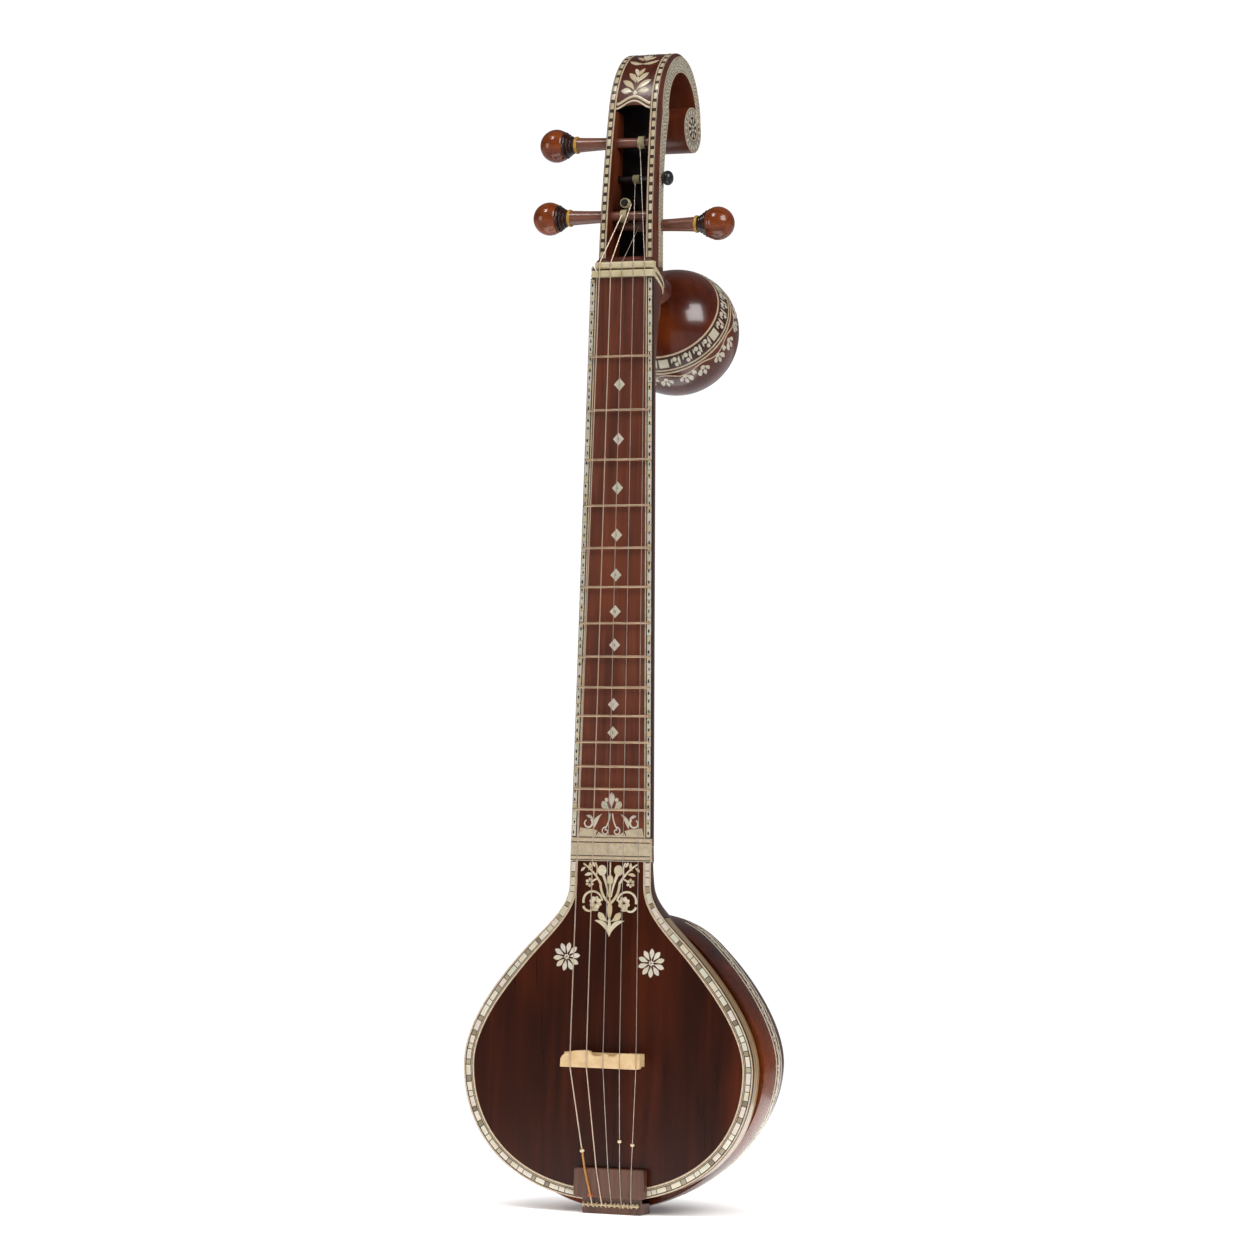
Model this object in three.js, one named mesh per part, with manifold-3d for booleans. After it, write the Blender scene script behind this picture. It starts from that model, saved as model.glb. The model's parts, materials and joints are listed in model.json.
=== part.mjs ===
// A small upright long-necked lute (sitar) with a gourd body, an upper gourd behind the neck, fourteen
// fixed frets, five strings and a scrolled peg box.
// Millimetres. +Z runs up the neck, +X to the right as seen by someone facing the soundboard, and the
// front of the instrument faces -Y. The origin lies in the plane of the soundboard (y = 0), on the centre
// line, at the flat bottom of the tail block (z = 0).
import * as THREE from "three";
import { mergeVertices } from "three/addons/utils/BufferGeometryUtils.js";
import Module from "manifold-3d";

// ---- driving dimensions ------------------------------------------------------------------------

const GAP = 0.3; // clearance between neighbouring pieces

// soundboard and gourd body
const FACE_BOTTOM_Z = 12;
const FACE_WIDEST_Z = 147;
const FACE_HALF_WIDTH = 158.5;
const SHOULDER = new THREE.Vector2(94, 264); // where the belly's curve turns into the shoulder's
const SHOULDER_RISE = new THREE.Vector2(-0.68, 0.733); // direction of the outline at that point
const NECK_ROOT_Z = 332; // the shoulders end in the sides of the neck here
const NECK_ROOT_HALF_WIDTH = 44.5;
const SOUNDBOARD_TOP_Z = 356;
const BOARD_THICKNESS = 4;
const BINDING_WIDTH = 11.5; // round the belly
const BINDING_AT_NECK = 0.7; // share of that width left where the outline meets the neck
const RIM_BACK_Y = 22;
const RIM_WALL = 7;
const RIM_TOP_Z = 300;
const GOURD_RADIUS = 164;
const GOURD_BOTTOM_Z = 2;
const GOURD_WIDEST_Z = 150;
const GOURD_SHOULDER = new THREE.Vector2(107, 260); // radius and height
const GOURD_TOP_Z = 305;
const GOURD_AXIS_Y = 47; // depth of the gourd's axis at its widest level
const GOURD_LEAN = 0.09; // the axis moves back this much for each millimetre up
const GOURD_WALL = 6;
const HEEL_INSET = 2; // the collar behind the shoulders stands this far inside the soundboard's edge

// neck
const JOINT_PLATE_TOP_Z = 380;
const NECK_BOTTOM_Z = 372;
const NECK_TOP_Z = 962;
const NECK_TOP_HALF_WIDTH = 34;
const NECK_FLARE_Z = 870; // the neck's back starts to swell here, towards the peg box
const NECK_DEPTH = 36; // from the front of the fingerboard to the back of the neck
const NECK_BORDER_WIDTH = 7.5;
const NECK_WALL = 9;
const NUT_Z = 957;
const BRIDGE_Z = 156;

// frets: each one shortens the sounding string to the same share of the one before
const FRET_COUNT = 14;
const FIRST_FRET_TO_BRIDGE = 716;
const FRET_RATIO = 0.923;
const FRET_HEIGHT = 4.6;
const FRET_LENGTH_ALONG_NECK = 2.4;

// strings, from the left; each spread gives x for the first string and the step to the next
const STRING_RADII = [0.6, 0.55, 0.35, 0.35, 0.35];
const ANCHOR_SPREAD = { first: -9, step: 10.6 };
const TAIL_SPREAD = { first: -17.5, step: 12.7 };
const BRIDGE_SPREAD = { first: -32, step: 18 };
const NUT_SPREAD = { first: -22, step: 12.4 };
const NUT_HEIGHT = 5.7;
const NUT_LENGTH = 7; // along the neck, for the nut and for the string guide above it
const BRIDGE_HEIGHT = 19.4;

// tail block
const TAIL = { left: -30, right: 47, front: -10, top: 46, step: 16 };
const FOOT = { left: -22, right: 42, front: -5, back: 21.5, top: 11.5 };
const ANCHOR_ROD = { y: -7.6, z: 9, radius: 1.3 };

// peg box and scroll, in the plane through the centre line: y is depth, z is height
const HEAD_HALF_WIDTH = { atBottom: 30.2, atTop: 25.8 };
const HEAD_TOP_Z = 1197;
const HEAD_BACK_Y = 54;
const HEAD_SIDE_DEPTH = 37; // the sides are flat as far back as this; behind it the back is rounded
const HEAD_ROUND_FROM_Z = 1000; // from here up the rounding fades
const HEAD_ROUND_TOP_Z = 1128;
const HEAD_FOOT = new THREE.Vector2(10.6, 974); // bottom of the front face
const HEAD_WALL = 8.3;
const SLOT = { bottom: 975, top: 1131, front: -10, floorBend: 8, backBend: 32 }; // front to back in y
const SCROLL = { y: 85, z: 1117, radiusY: 63, radiusZ: 80 }; // the ellipse of its outer edge
const SCROLL_START = -10.8; // degrees: where that ellipse leaves the front face
const SCROLL_HOLLOW = { y: 94, z: 1131, radiusY: 40, radiusZ: 47.5 };
const VOLUTE_CENTRE = new THREE.Vector2(123.5, 1123);
const VOLUTE_RADIUS = 24;

// upper gourd behind the neck: its axis tilts down and back, away from the foot of the peg box
const TUMBA_CENTRE = new THREE.Vector3(0, 156, 914);
const TUMBA_RADIUS = 66.5;
const TUMBA_TILT = THREE.MathUtils.degToRad(30);
const TUMBA_WALL = 8;
const TUMBA_HOLE_RADIUS = 7;
const TUMBA_SCREW_RADIUS = 4.6;

const deg = THREE.MathUtils.degToRad;
const lerp = THREE.MathUtils.lerp;

const wasm = await Module();
wasm.setup();

const sitar = new THREE.Group();
sitar.name = "sitar";

// ---- materials ---------------------------------------------------------------------------------

const finish = (color, roughness, metalness = 0) =>
  new THREE.MeshStandardMaterial({ color, roughness, metalness });

const look = {
  bodyWood: finish(0x4a1f12, 0.25),
  neckWood: finish(0x5c2a1a, 0.3),
  pegWood: finish(0x7a2f17, 0.25),
  blockWood: finish(0x5f3420, 0.45),
  inlay: finish(0xd9cdb4, 0.4),
  rimBands: finish(0xb89c6a, 0.4),
  ivory: finish(0xe4d9b4, 0.4),
  bridgeBone: finish(0xe8cfa4, 0.5),
  brass: finish(0xc9a24b, 0.3, 0.9),
  steel: finish(0xb8b8b8, 0.25, 0.95),
  bronze: finish(0xc8a46a, 0.3, 0.9),
  ebony: finish(0x222222, 0.35),
  thread: finish(0xcfc6ac, 0.7),
};

function addMesh(name, geometry, material) {
  const mesh = new THREE.Mesh(geometry, material);
  mesh.name = name;
  sitar.add(mesh);
  return mesh;
}

// ---- geometry helpers --------------------------------------------------------------------------

function solidOf(geometry) {
  const bare = geometry.clone();
  bare.deleteAttribute("normal");
  bare.deleteAttribute("uv");
  const merged = mergeVertices(bare, 1e-4);
  return new wasm.Manifold(
    new wasm.Mesh({
      numProp: 3,
      vertProperties: new Float32Array(merged.attributes.position.array),
      triVerts: new Uint32Array(merged.index.array),
    }),
  );
}

function geometryOf(solid) {
  const { vertProperties, triVerts } = solid.getMesh();
  const geometry = new THREE.BufferGeometry();
  geometry.setAttribute("position", new THREE.BufferAttribute(vertProperties, 3));
  geometry.setIndex(new THREE.BufferAttribute(triVerts, 1));
  geometry.computeVertexNormals();
  return geometry;
}

function cutAway(geometry, ...cutters) {
  return geometryOf(cutters.reduce((solid, cutter) => solid.subtract(solidOf(cutter)), solidOf(geometry)));
}

function boxBetween(x0, x1, y0, y1, z0, z1) {
  return new THREE.BoxGeometry(x1 - x0, y1 - y0, z1 - z0).translate(
    (x0 + x1) / 2,
    (y0 + y1) / 2,
    (z0 + z1) / 2,
  );
}

// A flat outline in x and z, given a thickness from yFront to yBack.
function slab(outline, yFront, yBack, options = {}) {
  return new THREE.ExtrudeGeometry(outline, {
    depth: yBack - yFront,
    bevelEnabled: false,
    curveSegments: 12,
    ...options,
  })
    .rotateX(Math.PI / 2)
    .translate(0, yBack, 0);
}

// A closed skin through rings of points, one ring per level, with a fan over each end.
function loft(rings) {
  const count = rings[0].length;
  const positions = rings.flat().flatMap((p) => [p.x, p.y, p.z]);
  const indices = [];
  for (let level = 0; level < rings.length - 1; level++) {
    for (let i = 0; i < count; i++) {
      const next = (i + 1) % count;
      const a = level * count + i;
      const b = level * count + next;
      const c = a + count;
      const d = b + count;
      indices.push(a, b, d, a, d, c);
    }
  }
  [rings[0], rings[rings.length - 1]].forEach((ring, end) => {
    const middle = ring.reduce((sum, p) => sum.add(p), new THREE.Vector3()).divideScalar(count);
    const hub = positions.length / 3;
    const base = end === 0 ? 0 : (rings.length - 1) * count;
    positions.push(middle.x, middle.y, middle.z);
    for (let i = 0; i < count; i++) {
      const next = (i + 1) % count;
      if (end === 0) indices.push(hub, base + next, base + i);
      else indices.push(hub, base + i, base + next);
    }
  });
  const geometry = new THREE.BufferGeometry();
  geometry.setAttribute("position", new THREE.Float32BufferAttribute(positions, 3));
  geometry.setIndex(indices);
  geometry.computeVertexNormals();
  return geometry;
}

// A turned piece: profile points are [radius, distance along the axis].
function turned(profile, segments = 16) {
  return new THREE.LatheGeometry(
    profile.map(([radius, along]) => new THREE.Vector2(radius, along)),
    segments,
  );
}

// Places a turned piece so that its axis starts at `from` and points along `direction`.
function place(mesh, from, direction) {
  mesh.position.copy(from);
  mesh.quaternion.setFromUnitVectors(new THREE.Vector3(0, 1, 0), direction.clone().normalize());
  return mesh;
}

// ---- the outline of the face -------------------------------------------------------------------

// Half of the face's outline, from the middle of the bottom up to the neck, as x and z.
function halfOutline() {
  const rise = SHOULDER_RISE;
  const widest = new THREE.Vector2(FACE_HALF_WIDTH, FACE_WIDEST_Z);
  const neckRoot = new THREE.Vector2(NECK_ROOT_HALF_WIDTH, NECK_ROOT_Z);
  const curve = new THREE.CurvePath();
  curve.add(
    new THREE.CubicBezierCurve(
      new THREE.Vector2(0, FACE_BOTTOM_Z),
      new THREE.Vector2(0.6 * FACE_HALF_WIDTH, FACE_BOTTOM_Z),
      new THREE.Vector2(FACE_HALF_WIDTH, lerp(FACE_WIDEST_Z, FACE_BOTTOM_Z, 0.6)),
      widest,
    ),
  );
  curve.add(
    new THREE.CubicBezierCurve(
      widest,
      new THREE.Vector2(FACE_HALF_WIDTH, FACE_WIDEST_Z + 40),
      SHOULDER.clone().addScaledVector(rise, -45),
      SHOULDER,
    ),
  );
  curve.add(
    new THREE.CubicBezierCurve(
      SHOULDER,
      SHOULDER.clone().addScaledVector(rise, 30),
      new THREE.Vector2(NECK_ROOT_HALF_WIDTH, NECK_ROOT_Z - 25),
      neckRoot,
    ),
  );
  curve.add(new THREE.LineCurve(neckRoot, new THREE.Vector2(neckHalfWidth(SOUNDBOARD_TOP_Z), SOUNDBOARD_TOP_Z)));
  return curve;
}

// The neck tapers evenly from its root to the nut.
function neckHalfWidth(z) {
  return lerp(NECK_ROOT_HALF_WIDTH, NECK_TOP_HALF_WIDTH, (z - NECK_ROOT_Z) / (NECK_TOP_Z - NECK_ROOT_Z));
}

// Points along a chain of curves, each moved to the right-hand side of the path by inset(point).
function offsetPoints(chain, stepsPerCurve, inset) {
  const points = [];
  chain.curves.forEach((curve, index) => {
    const steps = stepsPerCurve[index];
    for (let i = index === 0 ? 0 : 1; i <= steps; i++) {
      const point = curve.getPoint(i / steps);
      const along = curve.getTangent(i / steps);
      const distance = inset(point);
      points.push(new THREE.Vector2(point.x - along.y * distance, point.y + along.x * distance));
    }
  });
  return points;
}

const OUTLINE_STEPS = [14, 9, 9, 1]; // steps along the belly, flank, shoulder and neck root

// Points of the right half, moved inwards by `inset`, from the bottom up to topZ.
function rightSide(inset, topZ = SOUNDBOARD_TOP_Z) {
  const narrowing = (z) => lerp(1, BINDING_AT_NECK, THREE.MathUtils.smoothstep(z, 240, NECK_ROOT_Z));
  const points = offsetPoints(halfOutline(), OUTLINE_STEPS, (point) => inset * narrowing(point.y));
  const kept = points.filter((p) => p.y < topZ - 0.5);
  const before = kept[kept.length - 1];
  const after = points[kept.length];
  const share = (topZ - before.y) / (after.y - before.y);
  kept.push(new THREE.Vector2(lerp(before.x, after.x, share), topZ));
  kept[0].x = 0;
  return kept;
}

const mirrored = (points) => points.map((p) => new THREE.Vector2(-p.x, p.y)).reverse();

// The whole outline, closed across the top.
function faceOutline(inset, topZ) {
  const right = rightSide(inset, topZ);
  return [...right, ...mirrored(right.slice(1))];
}

// A band that follows the outline between two insets and stays open across the top.
function faceBand(outerInset, innerInset, topZ) {
  const outer = rightSide(outerInset, topZ);
  const inner = rightSide(innerInset, topZ);
  const outerWhole = [...mirrored(outer), ...outer.slice(1)];
  const innerWhole = [...mirrored(inner), ...inner.slice(1)];
  return new THREE.Shape([...outerWhole, ...innerWhole.reverse()]);
}

// ---- body --------------------------------------------------------------------------------------

// The gourd's profile from its lowest point up to its top, as radius and height.
function gourdProfile() {
  const radius = GOURD_RADIUS;
  const widest = new THREE.Vector2(radius, GOURD_WIDEST_Z);
  const profile = new THREE.CurvePath();
  profile.add(
    new THREE.CubicBezierCurve(
      new THREE.Vector2(0, GOURD_BOTTOM_Z),
      new THREE.Vector2(0.47 * radius, GOURD_BOTTOM_Z),
      new THREE.Vector2(radius, GOURD_WIDEST_Z - 80),
      widest,
    ),
  );
  profile.add(
    new THREE.CubicBezierCurve(
      widest,
      new THREE.Vector2(radius, GOURD_WIDEST_Z + 40),
      GOURD_SHOULDER.clone().add(new THREE.Vector2(21, -22)),
      GOURD_SHOULDER,
    ),
  );
  profile.add(
    new THREE.CubicBezierCurve(
      GOURD_SHOULDER,
      GOURD_SHOULDER.clone().add(new THREE.Vector2(-22, 23)),
      new THREE.Vector2(0.41 * radius, GOURD_TOP_Z),
      new THREE.Vector2(0, GOURD_TOP_Z),
    ),
  );
  return profile;
}

// The gourd as a full solid of revolution, grown or shrunk by `offset`, with its axis leaning back.
function wholeGourd(offset, segments, steps) {
  const points = offsetPoints(gourdProfile(), steps, () => -offset);
  points[0].x = 0;
  points[points.length - 1].x = 0;
  const lean = new THREE.Matrix4().makeShear(0, 0, 0, 0, 0, GOURD_LEAN);
  return new THREE.LatheGeometry(points, segments)
    .rotateX(Math.PI / 2)
    .translate(0, GOURD_AXIS_Y - GOURD_LEAN * GOURD_WIDEST_Z, 0)
    .applyMatrix4(lean);
}

function makeGourd() {
  const steps = [8, 5, 5];
  const outside = wholeGourd(0, 40, steps);
  const inside = wholeGourd(-GOURD_WALL, 40, steps);
  const inFront = boxBetween(-200, 200, -200, RIM_BACK_Y + GAP, -50, 400);
  return cutAway(outside, inside, inFront);
}

// The wooden collar that joins the gourd to the neck: half-round levels that grow deeper downwards.
function makeHeel() {
  const levels = [
    { z: 284, depth: 112 },
    { z: 292, depth: 102 },
    { z: 300, depth: 90 },
    { z: 310, depth: 75 },
    { z: 321, depth: 61 },
    { z: 334, depth: 50 },
    { z: 350, depth: 42 },
    { z: NECK_BOTTOM_Z - GAP, depth: NECK_DEPTH + 1 },
  ];
  const rings = levels.map(({ z, depth }) => {
    const halfWidth = z < SOUNDBOARD_TOP_Z ? rightSide(HEEL_INSET, z).pop().x : neckHalfWidth(z);
    return halfRound(halfWidth, BOARD_THICKNESS + GAP, depth, z);
  });
  const frontRecess = boxBetween(-120, 120, -10, RIM_BACK_Y + GAP, 200, RIM_TOP_Z + GAP);
  const gourdWithClearance = wholeGourd(2 * GAP, 56, [10, 8, 8]);
  return cutAway(loft(rings), gourdWithClearance, frontRecess);
}

// One level of a loft: a flat front edge and a round back, squarer as the exponent rises above 2.
function halfRound(halfWidth, frontY, backY, z, { exponent = 2, steps = 16 } = {}) {
  return Array.from({ length: steps + 1 }, (_, i) => {
    const angle = (i / steps) * Math.PI;
    const across = Math.sign(Math.cos(angle)) * Math.abs(Math.cos(angle)) ** (2 / exponent);
    const back = Math.abs(Math.sin(angle)) ** (2 / exponent);
    return new THREE.Vector3(halfWidth * across, frontY + (backY - frontY) * back, z);
  });
}

function makeBody() {
  const board = new THREE.Shape(faceOutline(BINDING_WIDTH + GAP, SOUNDBOARD_TOP_Z));
  addMesh("soundboard", slab(board, 0, BOARD_THICKNESS), look.bodyWood);
  addMesh(
    "soundboard_binding",
    slab(faceBand(0, BINDING_WIDTH, SOUNDBOARD_TOP_Z), 0, BOARD_THICKNESS),
    look.inlay,
  );
  addMesh("rim", slab(faceBand(0.6, RIM_WALL, RIM_TOP_Z), BOARD_THICKNESS + GAP, RIM_BACK_Y), look.rimBands);
  addMesh("gourd_bowl", makeGourd(), look.bodyWood);
  addMesh("heel_block", makeHeel(), look.bodyWood);
}

// ---- neck --------------------------------------------------------------------------------------

// The back of the neck is shallow and round; it grows deeper and squarer at the top, under the peg box.
function neckLevel(z, gap = 0) {
  const flare = Math.max(0, (z - NECK_FLARE_Z) / (NECK_TOP_Z - NECK_FLARE_Z));
  const backY = lerp(NECK_DEPTH, HEAD_BACK_Y, flare * flare);
  const halfWidth = neckHalfWidth(z) + gap;
  return halfRound(halfWidth, BOARD_THICKNESS + GAP, backY + gap, z, { exponent: 2 + 2.5 * flare });
}

const NECK_FLARE_LEVELS = [NECK_FLARE_Z, 890, 908, 925, 942];

function makeNeck() {
  const levels = [NECK_BOTTOM_Z, 480, 600, 720, 820, ...NECK_FLARE_LEVELS, NECK_TOP_Z - GAP];
  const channel = loft(
    [400, 850].map((z) =>
      halfRound(neckHalfWidth(z) - NECK_WALL, BOARD_THICKNESS - 1, NECK_DEPTH - NECK_WALL, z, { steps: 10 }),
    ),
  );
  return cutAway(loft(levels.map((z) => neckLevel(z))), channel);
}

// A flat strip in the fingerboard's plane whose edges keep a fixed distance to the neck's edge.
function neckStrip(outerInset, innerInset, side, z0, z1) {
  const corners = [
    [neckHalfWidth(z0) - outerInset, z0],
    [neckHalfWidth(z1) - outerInset, z1],
    [neckHalfWidth(z1) - innerInset, z1],
    [neckHalfWidth(z0) - innerInset, z0],
  ];
  return new THREE.Shape(corners.map(([x, z]) => new THREE.Vector2(side * x, z)));
}

function makeFingerboard(z0, z1) {
  const inset = NECK_BORDER_WIDTH + GAP;
  const bottom = neckHalfWidth(z0) - inset;
  const top = neckHalfWidth(z1) - inset;
  return new THREE.Shape(
    [
      [-bottom, z0],
      [bottom, z0],
      [top, z1],
      [-top, z1],
    ].map(([x, z]) => new THREE.Vector2(x, z)),
  );
}

// A fret is a low staple: a rounded bar on two short feet that stand on the neck's borders.
function makeFret(z) {
  const half = neckHalfWidth(z) - 1.2;
  const foot = 3.2;
  const bar = 1.9;
  const corner = 1.6;
  const height = FRET_HEIGHT;
  const outline = new THREE.Shape();
  outline.moveTo(-half, GAP);
  outline.lineTo(-half, height - corner);
  outline.quadraticCurveTo(-half, height, -half + corner, height);
  outline.lineTo(half - corner, height);
  outline.quadraticCurveTo(half, height, half, height - corner);
  outline.lineTo(half, GAP);
  outline.lineTo(half - foot, GAP);
  outline.lineTo(half - foot, height - bar);
  outline.lineTo(foot - half, height - bar);
  outline.lineTo(foot - half, GAP);
  // Drawn upwards from the neck, extruded along the neck, then turned to stand out towards -Y.
  return new THREE.ExtrudeGeometry(outline, {
    depth: FRET_LENGTH_ALONG_NECK,
    bevelEnabled: false,
    curveSegments: 3,
  })
    .rotateZ(Math.PI)
    .translate(0, 0, z - FRET_LENGTH_ALONG_NECK / 2);
}

function makeNeckAssembly() {
  const bottom = JOINT_PLATE_TOP_Z + GAP;
  const top = NUT_Z - 4;
  addMesh("neck", makeNeck(), look.neckWood);
  addMesh("fingerboard", slab(makeFingerboard(bottom, top), 0, BOARD_THICKNESS), look.neckWood);
  for (const [side, label] of [
    [-1, "left"],
    [1, "right"],
  ]) {
    const strip = neckStrip(0, NECK_BORDER_WIDTH, side, bottom, top);
    addMesh("neck_border_" + label, slab(strip, 0, BOARD_THICKNESS), look.inlay);
  }
  const plateBottom = SOUNDBOARD_TOP_Z + GAP;
  const halfBottom = neckHalfWidth(plateBottom);
  const halfTop = neckHalfWidth(JOINT_PLATE_TOP_Z);
  const plate = new THREE.Shape([
    new THREE.Vector2(-halfBottom, plateBottom),
    new THREE.Vector2(halfBottom, plateBottom),
    new THREE.Vector2(halfTop, JOINT_PLATE_TOP_Z),
    new THREE.Vector2(-halfTop, JOINT_PLATE_TOP_Z),
  ]);
  addMesh("joint_plate", slab(plate, -1, BOARD_THICKNESS), look.ivory);
  for (let i = 0; i < FRET_COUNT; i++) {
    const z = BRIDGE_Z + FIRST_FRET_TO_BRIDGE * FRET_RATIO ** i;
    addMesh("fret_" + String(i + 1).padStart(2, "0"), makeFret(z), look.brass);
  }
}

// The nut is a low bar; the string guide stands just above it, on the foot of the peg box.
function makeNuts() {
  const nutBottom = NUT_Z - NUT_LENGTH / 2;
  const guideBottom = nutBottom + NUT_LENGTH + 1.8;
  const bar = roundedBlock(-31, 36, -NUT_HEIGHT, BOARD_THICKNESS, NUT_LENGTH, 1.2);
  addMesh("nut", bar.translate(0, 0, nutBottom), look.ivory);
  const guide = roundedBlock(-27.5, 36, -NUT_HEIGHT, BOARD_THICKNESS, NUT_LENGTH, 2.4);
  addMesh("string_guide", guide.translate(0, 0, guideBottom), look.ivory);
}

// A block across the neck, `length` long from z = 0 up, with its front edges rounded over.
function roundedBlock(x0, x1, frontY, backY, length, round) {
  const shape = new THREE.Shape();
  shape.moveTo(0, -backY);
  shape.lineTo(length, -backY);
  shape.lineTo(length, -frontY - round);
  shape.quadraticCurveTo(length, -frontY, length - round, -frontY);
  shape.lineTo(round, -frontY);
  shape.quadraticCurveTo(0, -frontY, 0, -frontY - round);
  const block = new THREE.ExtrudeGeometry(shape, { depth: x1 - x0, bevelEnabled: false, curveSegments: 4 });
  // shape x becomes z, shape y becomes -y, and the extrusion runs along x
  const turn = new THREE.Matrix4().set(0, 0, 1, x0, 0, -1, 0, 0, 1, 0, 0, 0, 0, 0, 0, 1);
  return block.applyMatrix4(turn);
}

// ---- peg box and scroll ------------------------------------------------------------------------

function headHalfWidth(z) {
  const share = (z - NECK_TOP_Z) / (HEAD_TOP_Z - NECK_TOP_Z);
  return lerp(HEAD_HALF_WIDTH.atBottom, HEAD_HALF_WIDTH.atTop, share);
}

// An outline in y and z, spread sideways to a half width that depends on the height.
function headSolid(outline, halfWidthAt, curveSegments) {
  const geometry = new THREE.ExtrudeGeometry(outline, { depth: 2, bevelEnabled: false, curveSegments });
  // shape x becomes y, shape y becomes z, and the extrusion runs along x from -1 to 1
  geometry.applyMatrix4(new THREE.Matrix4().set(0, 0, 1, -1, 1, 0, 0, 0, 0, 1, 0, 0, 0, 0, 0, 1));
  const position = geometry.attributes.position;
  for (let i = 0; i < position.count; i++) {
    position.setX(i, position.getX(i) * halfWidthAt(position.getZ(i)));
  }
  geometry.computeVertexNormals();
  return geometry;
}

function headOutline() {
  const footY = BOARD_THICKNESS + GAP;
  const outline = new THREE.Shape();
  const frontTop = ellipsePoint(SCROLL, 180 + SCROLL_START);
  const bend = (frontTop.x - HEAD_FOOT.x) / FRONT_SLOPE; // how far down the front face turns upright
  outline.moveTo(footY, NECK_TOP_Z);
  outline.lineTo(HEAD_BACK_Y, NECK_TOP_Z);
  outline.lineTo(SCROLL_HOLLOW.y - SCROLL_HOLLOW.radiusY, SCROLL_HOLLOW.z);
  outline.absellipse(
    SCROLL_HOLLOW.y,
    SCROLL_HOLLOW.z,
    SCROLL_HOLLOW.radiusY,
    SCROLL_HOLLOW.radiusZ,
    Math.PI,
    deg(15),
    true,
    0,
  );
  outline.absarc(VOLUTE_CENTRE.x, VOLUTE_CENTRE.y, VOLUTE_RADIUS, deg(66), deg(355), false);
  outline.absellipse(
    SCROLL.y,
    SCROLL.z,
    SCROLL.radiusY,
    SCROLL.radiusZ,
    deg(3),
    deg(180 + SCROLL_START),
    false,
    0,
  );
  outline.quadraticCurveTo(HEAD_FOOT.x, frontTop.y - bend, HEAD_FOOT.x, HEAD_FOOT.y);
  outline.lineTo(footY, HEAD_FOOT.y - 3);
  return outline;
}

const FRONT_SLOPE = 0.15; // how steeply the front face leans back where it meets the scroll

function ellipsePoint({ y, z, radiusY, radiusZ }, degrees) {
  return new THREE.Vector2(y + radiusY * Math.cos(deg(degrees)), z + radiusZ * Math.sin(deg(degrees)));
}

// The section of the peg box's rounded back at a level, as wide as the box there plus a gap.
function headBackLevel(z, gap) {
  const rise = Math.max(0, (z - HEAD_ROUND_FROM_Z) / (HEAD_ROUND_TOP_Z - HEAD_ROUND_FROM_Z));
  const sideDepth = lerp(HEAD_SIDE_DEPTH, HEAD_BACK_Y, rise ** 2.5);
  const halfWidth = headHalfWidth(z) + gap;
  return [
    new THREE.Vector3(-halfWidth, -10, z),
    new THREE.Vector3(halfWidth, -10, z),
    ...halfRound(halfWidth, sideDepth, HEAD_BACK_Y + gap, z, { steps: 12 }),
  ];
}

const HEAD_BACK_LEVELS = [NECK_TOP_Z - 2, HEAD_ROUND_FROM_Z, 1040, 1070, 1095, 1113, HEAD_ROUND_TOP_Z];

// What the rounded back leaves of two square corners.
function backCorners() {
  const around = boxBetween(-60, 60, HEAD_SIDE_DEPTH - 2, HEAD_BACK_Y + 10, NECK_TOP_Z - 1, 1127.9);
  return cutAway(around, loft(HEAD_BACK_LEVELS.map((z) => headBackLevel(z, 0.05))));
}

// Each peg: where its axis crosses the box, which way its head points, and its sizes.
// `seat` is how far the tip reaches into the wall across the box.
const PEGS = [
  { name: "peg_upper_left", side: -1, y: 32, z: 1097, headAt: 88.5, winding: 7.5, string: 4, ball: true },
  { name: "peg_lower_left", side: -1, y: 25, z: 1020, headAt: 91.7, winding: -8, string: 0, ball: true },
  { name: "peg_lower_right", side: 1, y: 37.5, z: 1011, headAt: 90.5, winding: 7, string: 2, ball: true },
  { name: "peg_short_right", side: 1, y: 38, z: 1060, headAt: 33.5, winding: 0, string: 3, ball: false },
];
const PEG_SHAFT_RADIUS = 5.4; // where the ball-headed pegs leave the wall
const PEG_TIP_RADIUS = 4.2;
const SHORT_PEG_SHAFT_RADIUS = 3.5;
const SHORT_PEG_TIP_RADIUS = 3;
const PEG_HOLE_GAP = 0.7; // round each peg, so that it turns freely in its tapered hole
const PEG_HOLE_END = 3; // wall left beyond the blind end of a hole
const PEG_TIP_INSET = 4.2; // and the tip stops this far inside that wall's outer face
const HOLE_SIDES = 16;
const TURNS_DEPTH = 1.7; // how far the string's turns stand out from a peg's shaft
const TURNS_HALF_LENGTH = 4.2;
const REAR_TURNS_RADIUS = 5.6;
const REAR_PEG = { name: "peg_rear", x: -6, z: 1033, winding: 22, string: 1 };

// The opening in the front of the peg box: its floor and its ceiling slope in towards the back wall.
function slotOutline() {
  const back = HEAD_BACK_Y - HEAD_WALL;
  const outline = new THREE.Shape();
  outline.moveTo(SLOT.front, SLOT.bottom);
  outline.lineTo(SLOT.floorBend, SLOT.bottom + 1);
  outline.lineTo(SLOT.backBend, SLOT.bottom + 9);
  outline.lineTo(back, SLOT.bottom + 15);
  outline.lineTo(back, SLOT.top - 11);
  outline.lineTo(SLOT.backBend, SLOT.top - 2);
  outline.lineTo(SLOT.front, SLOT.top);
  return outline;
}

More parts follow.
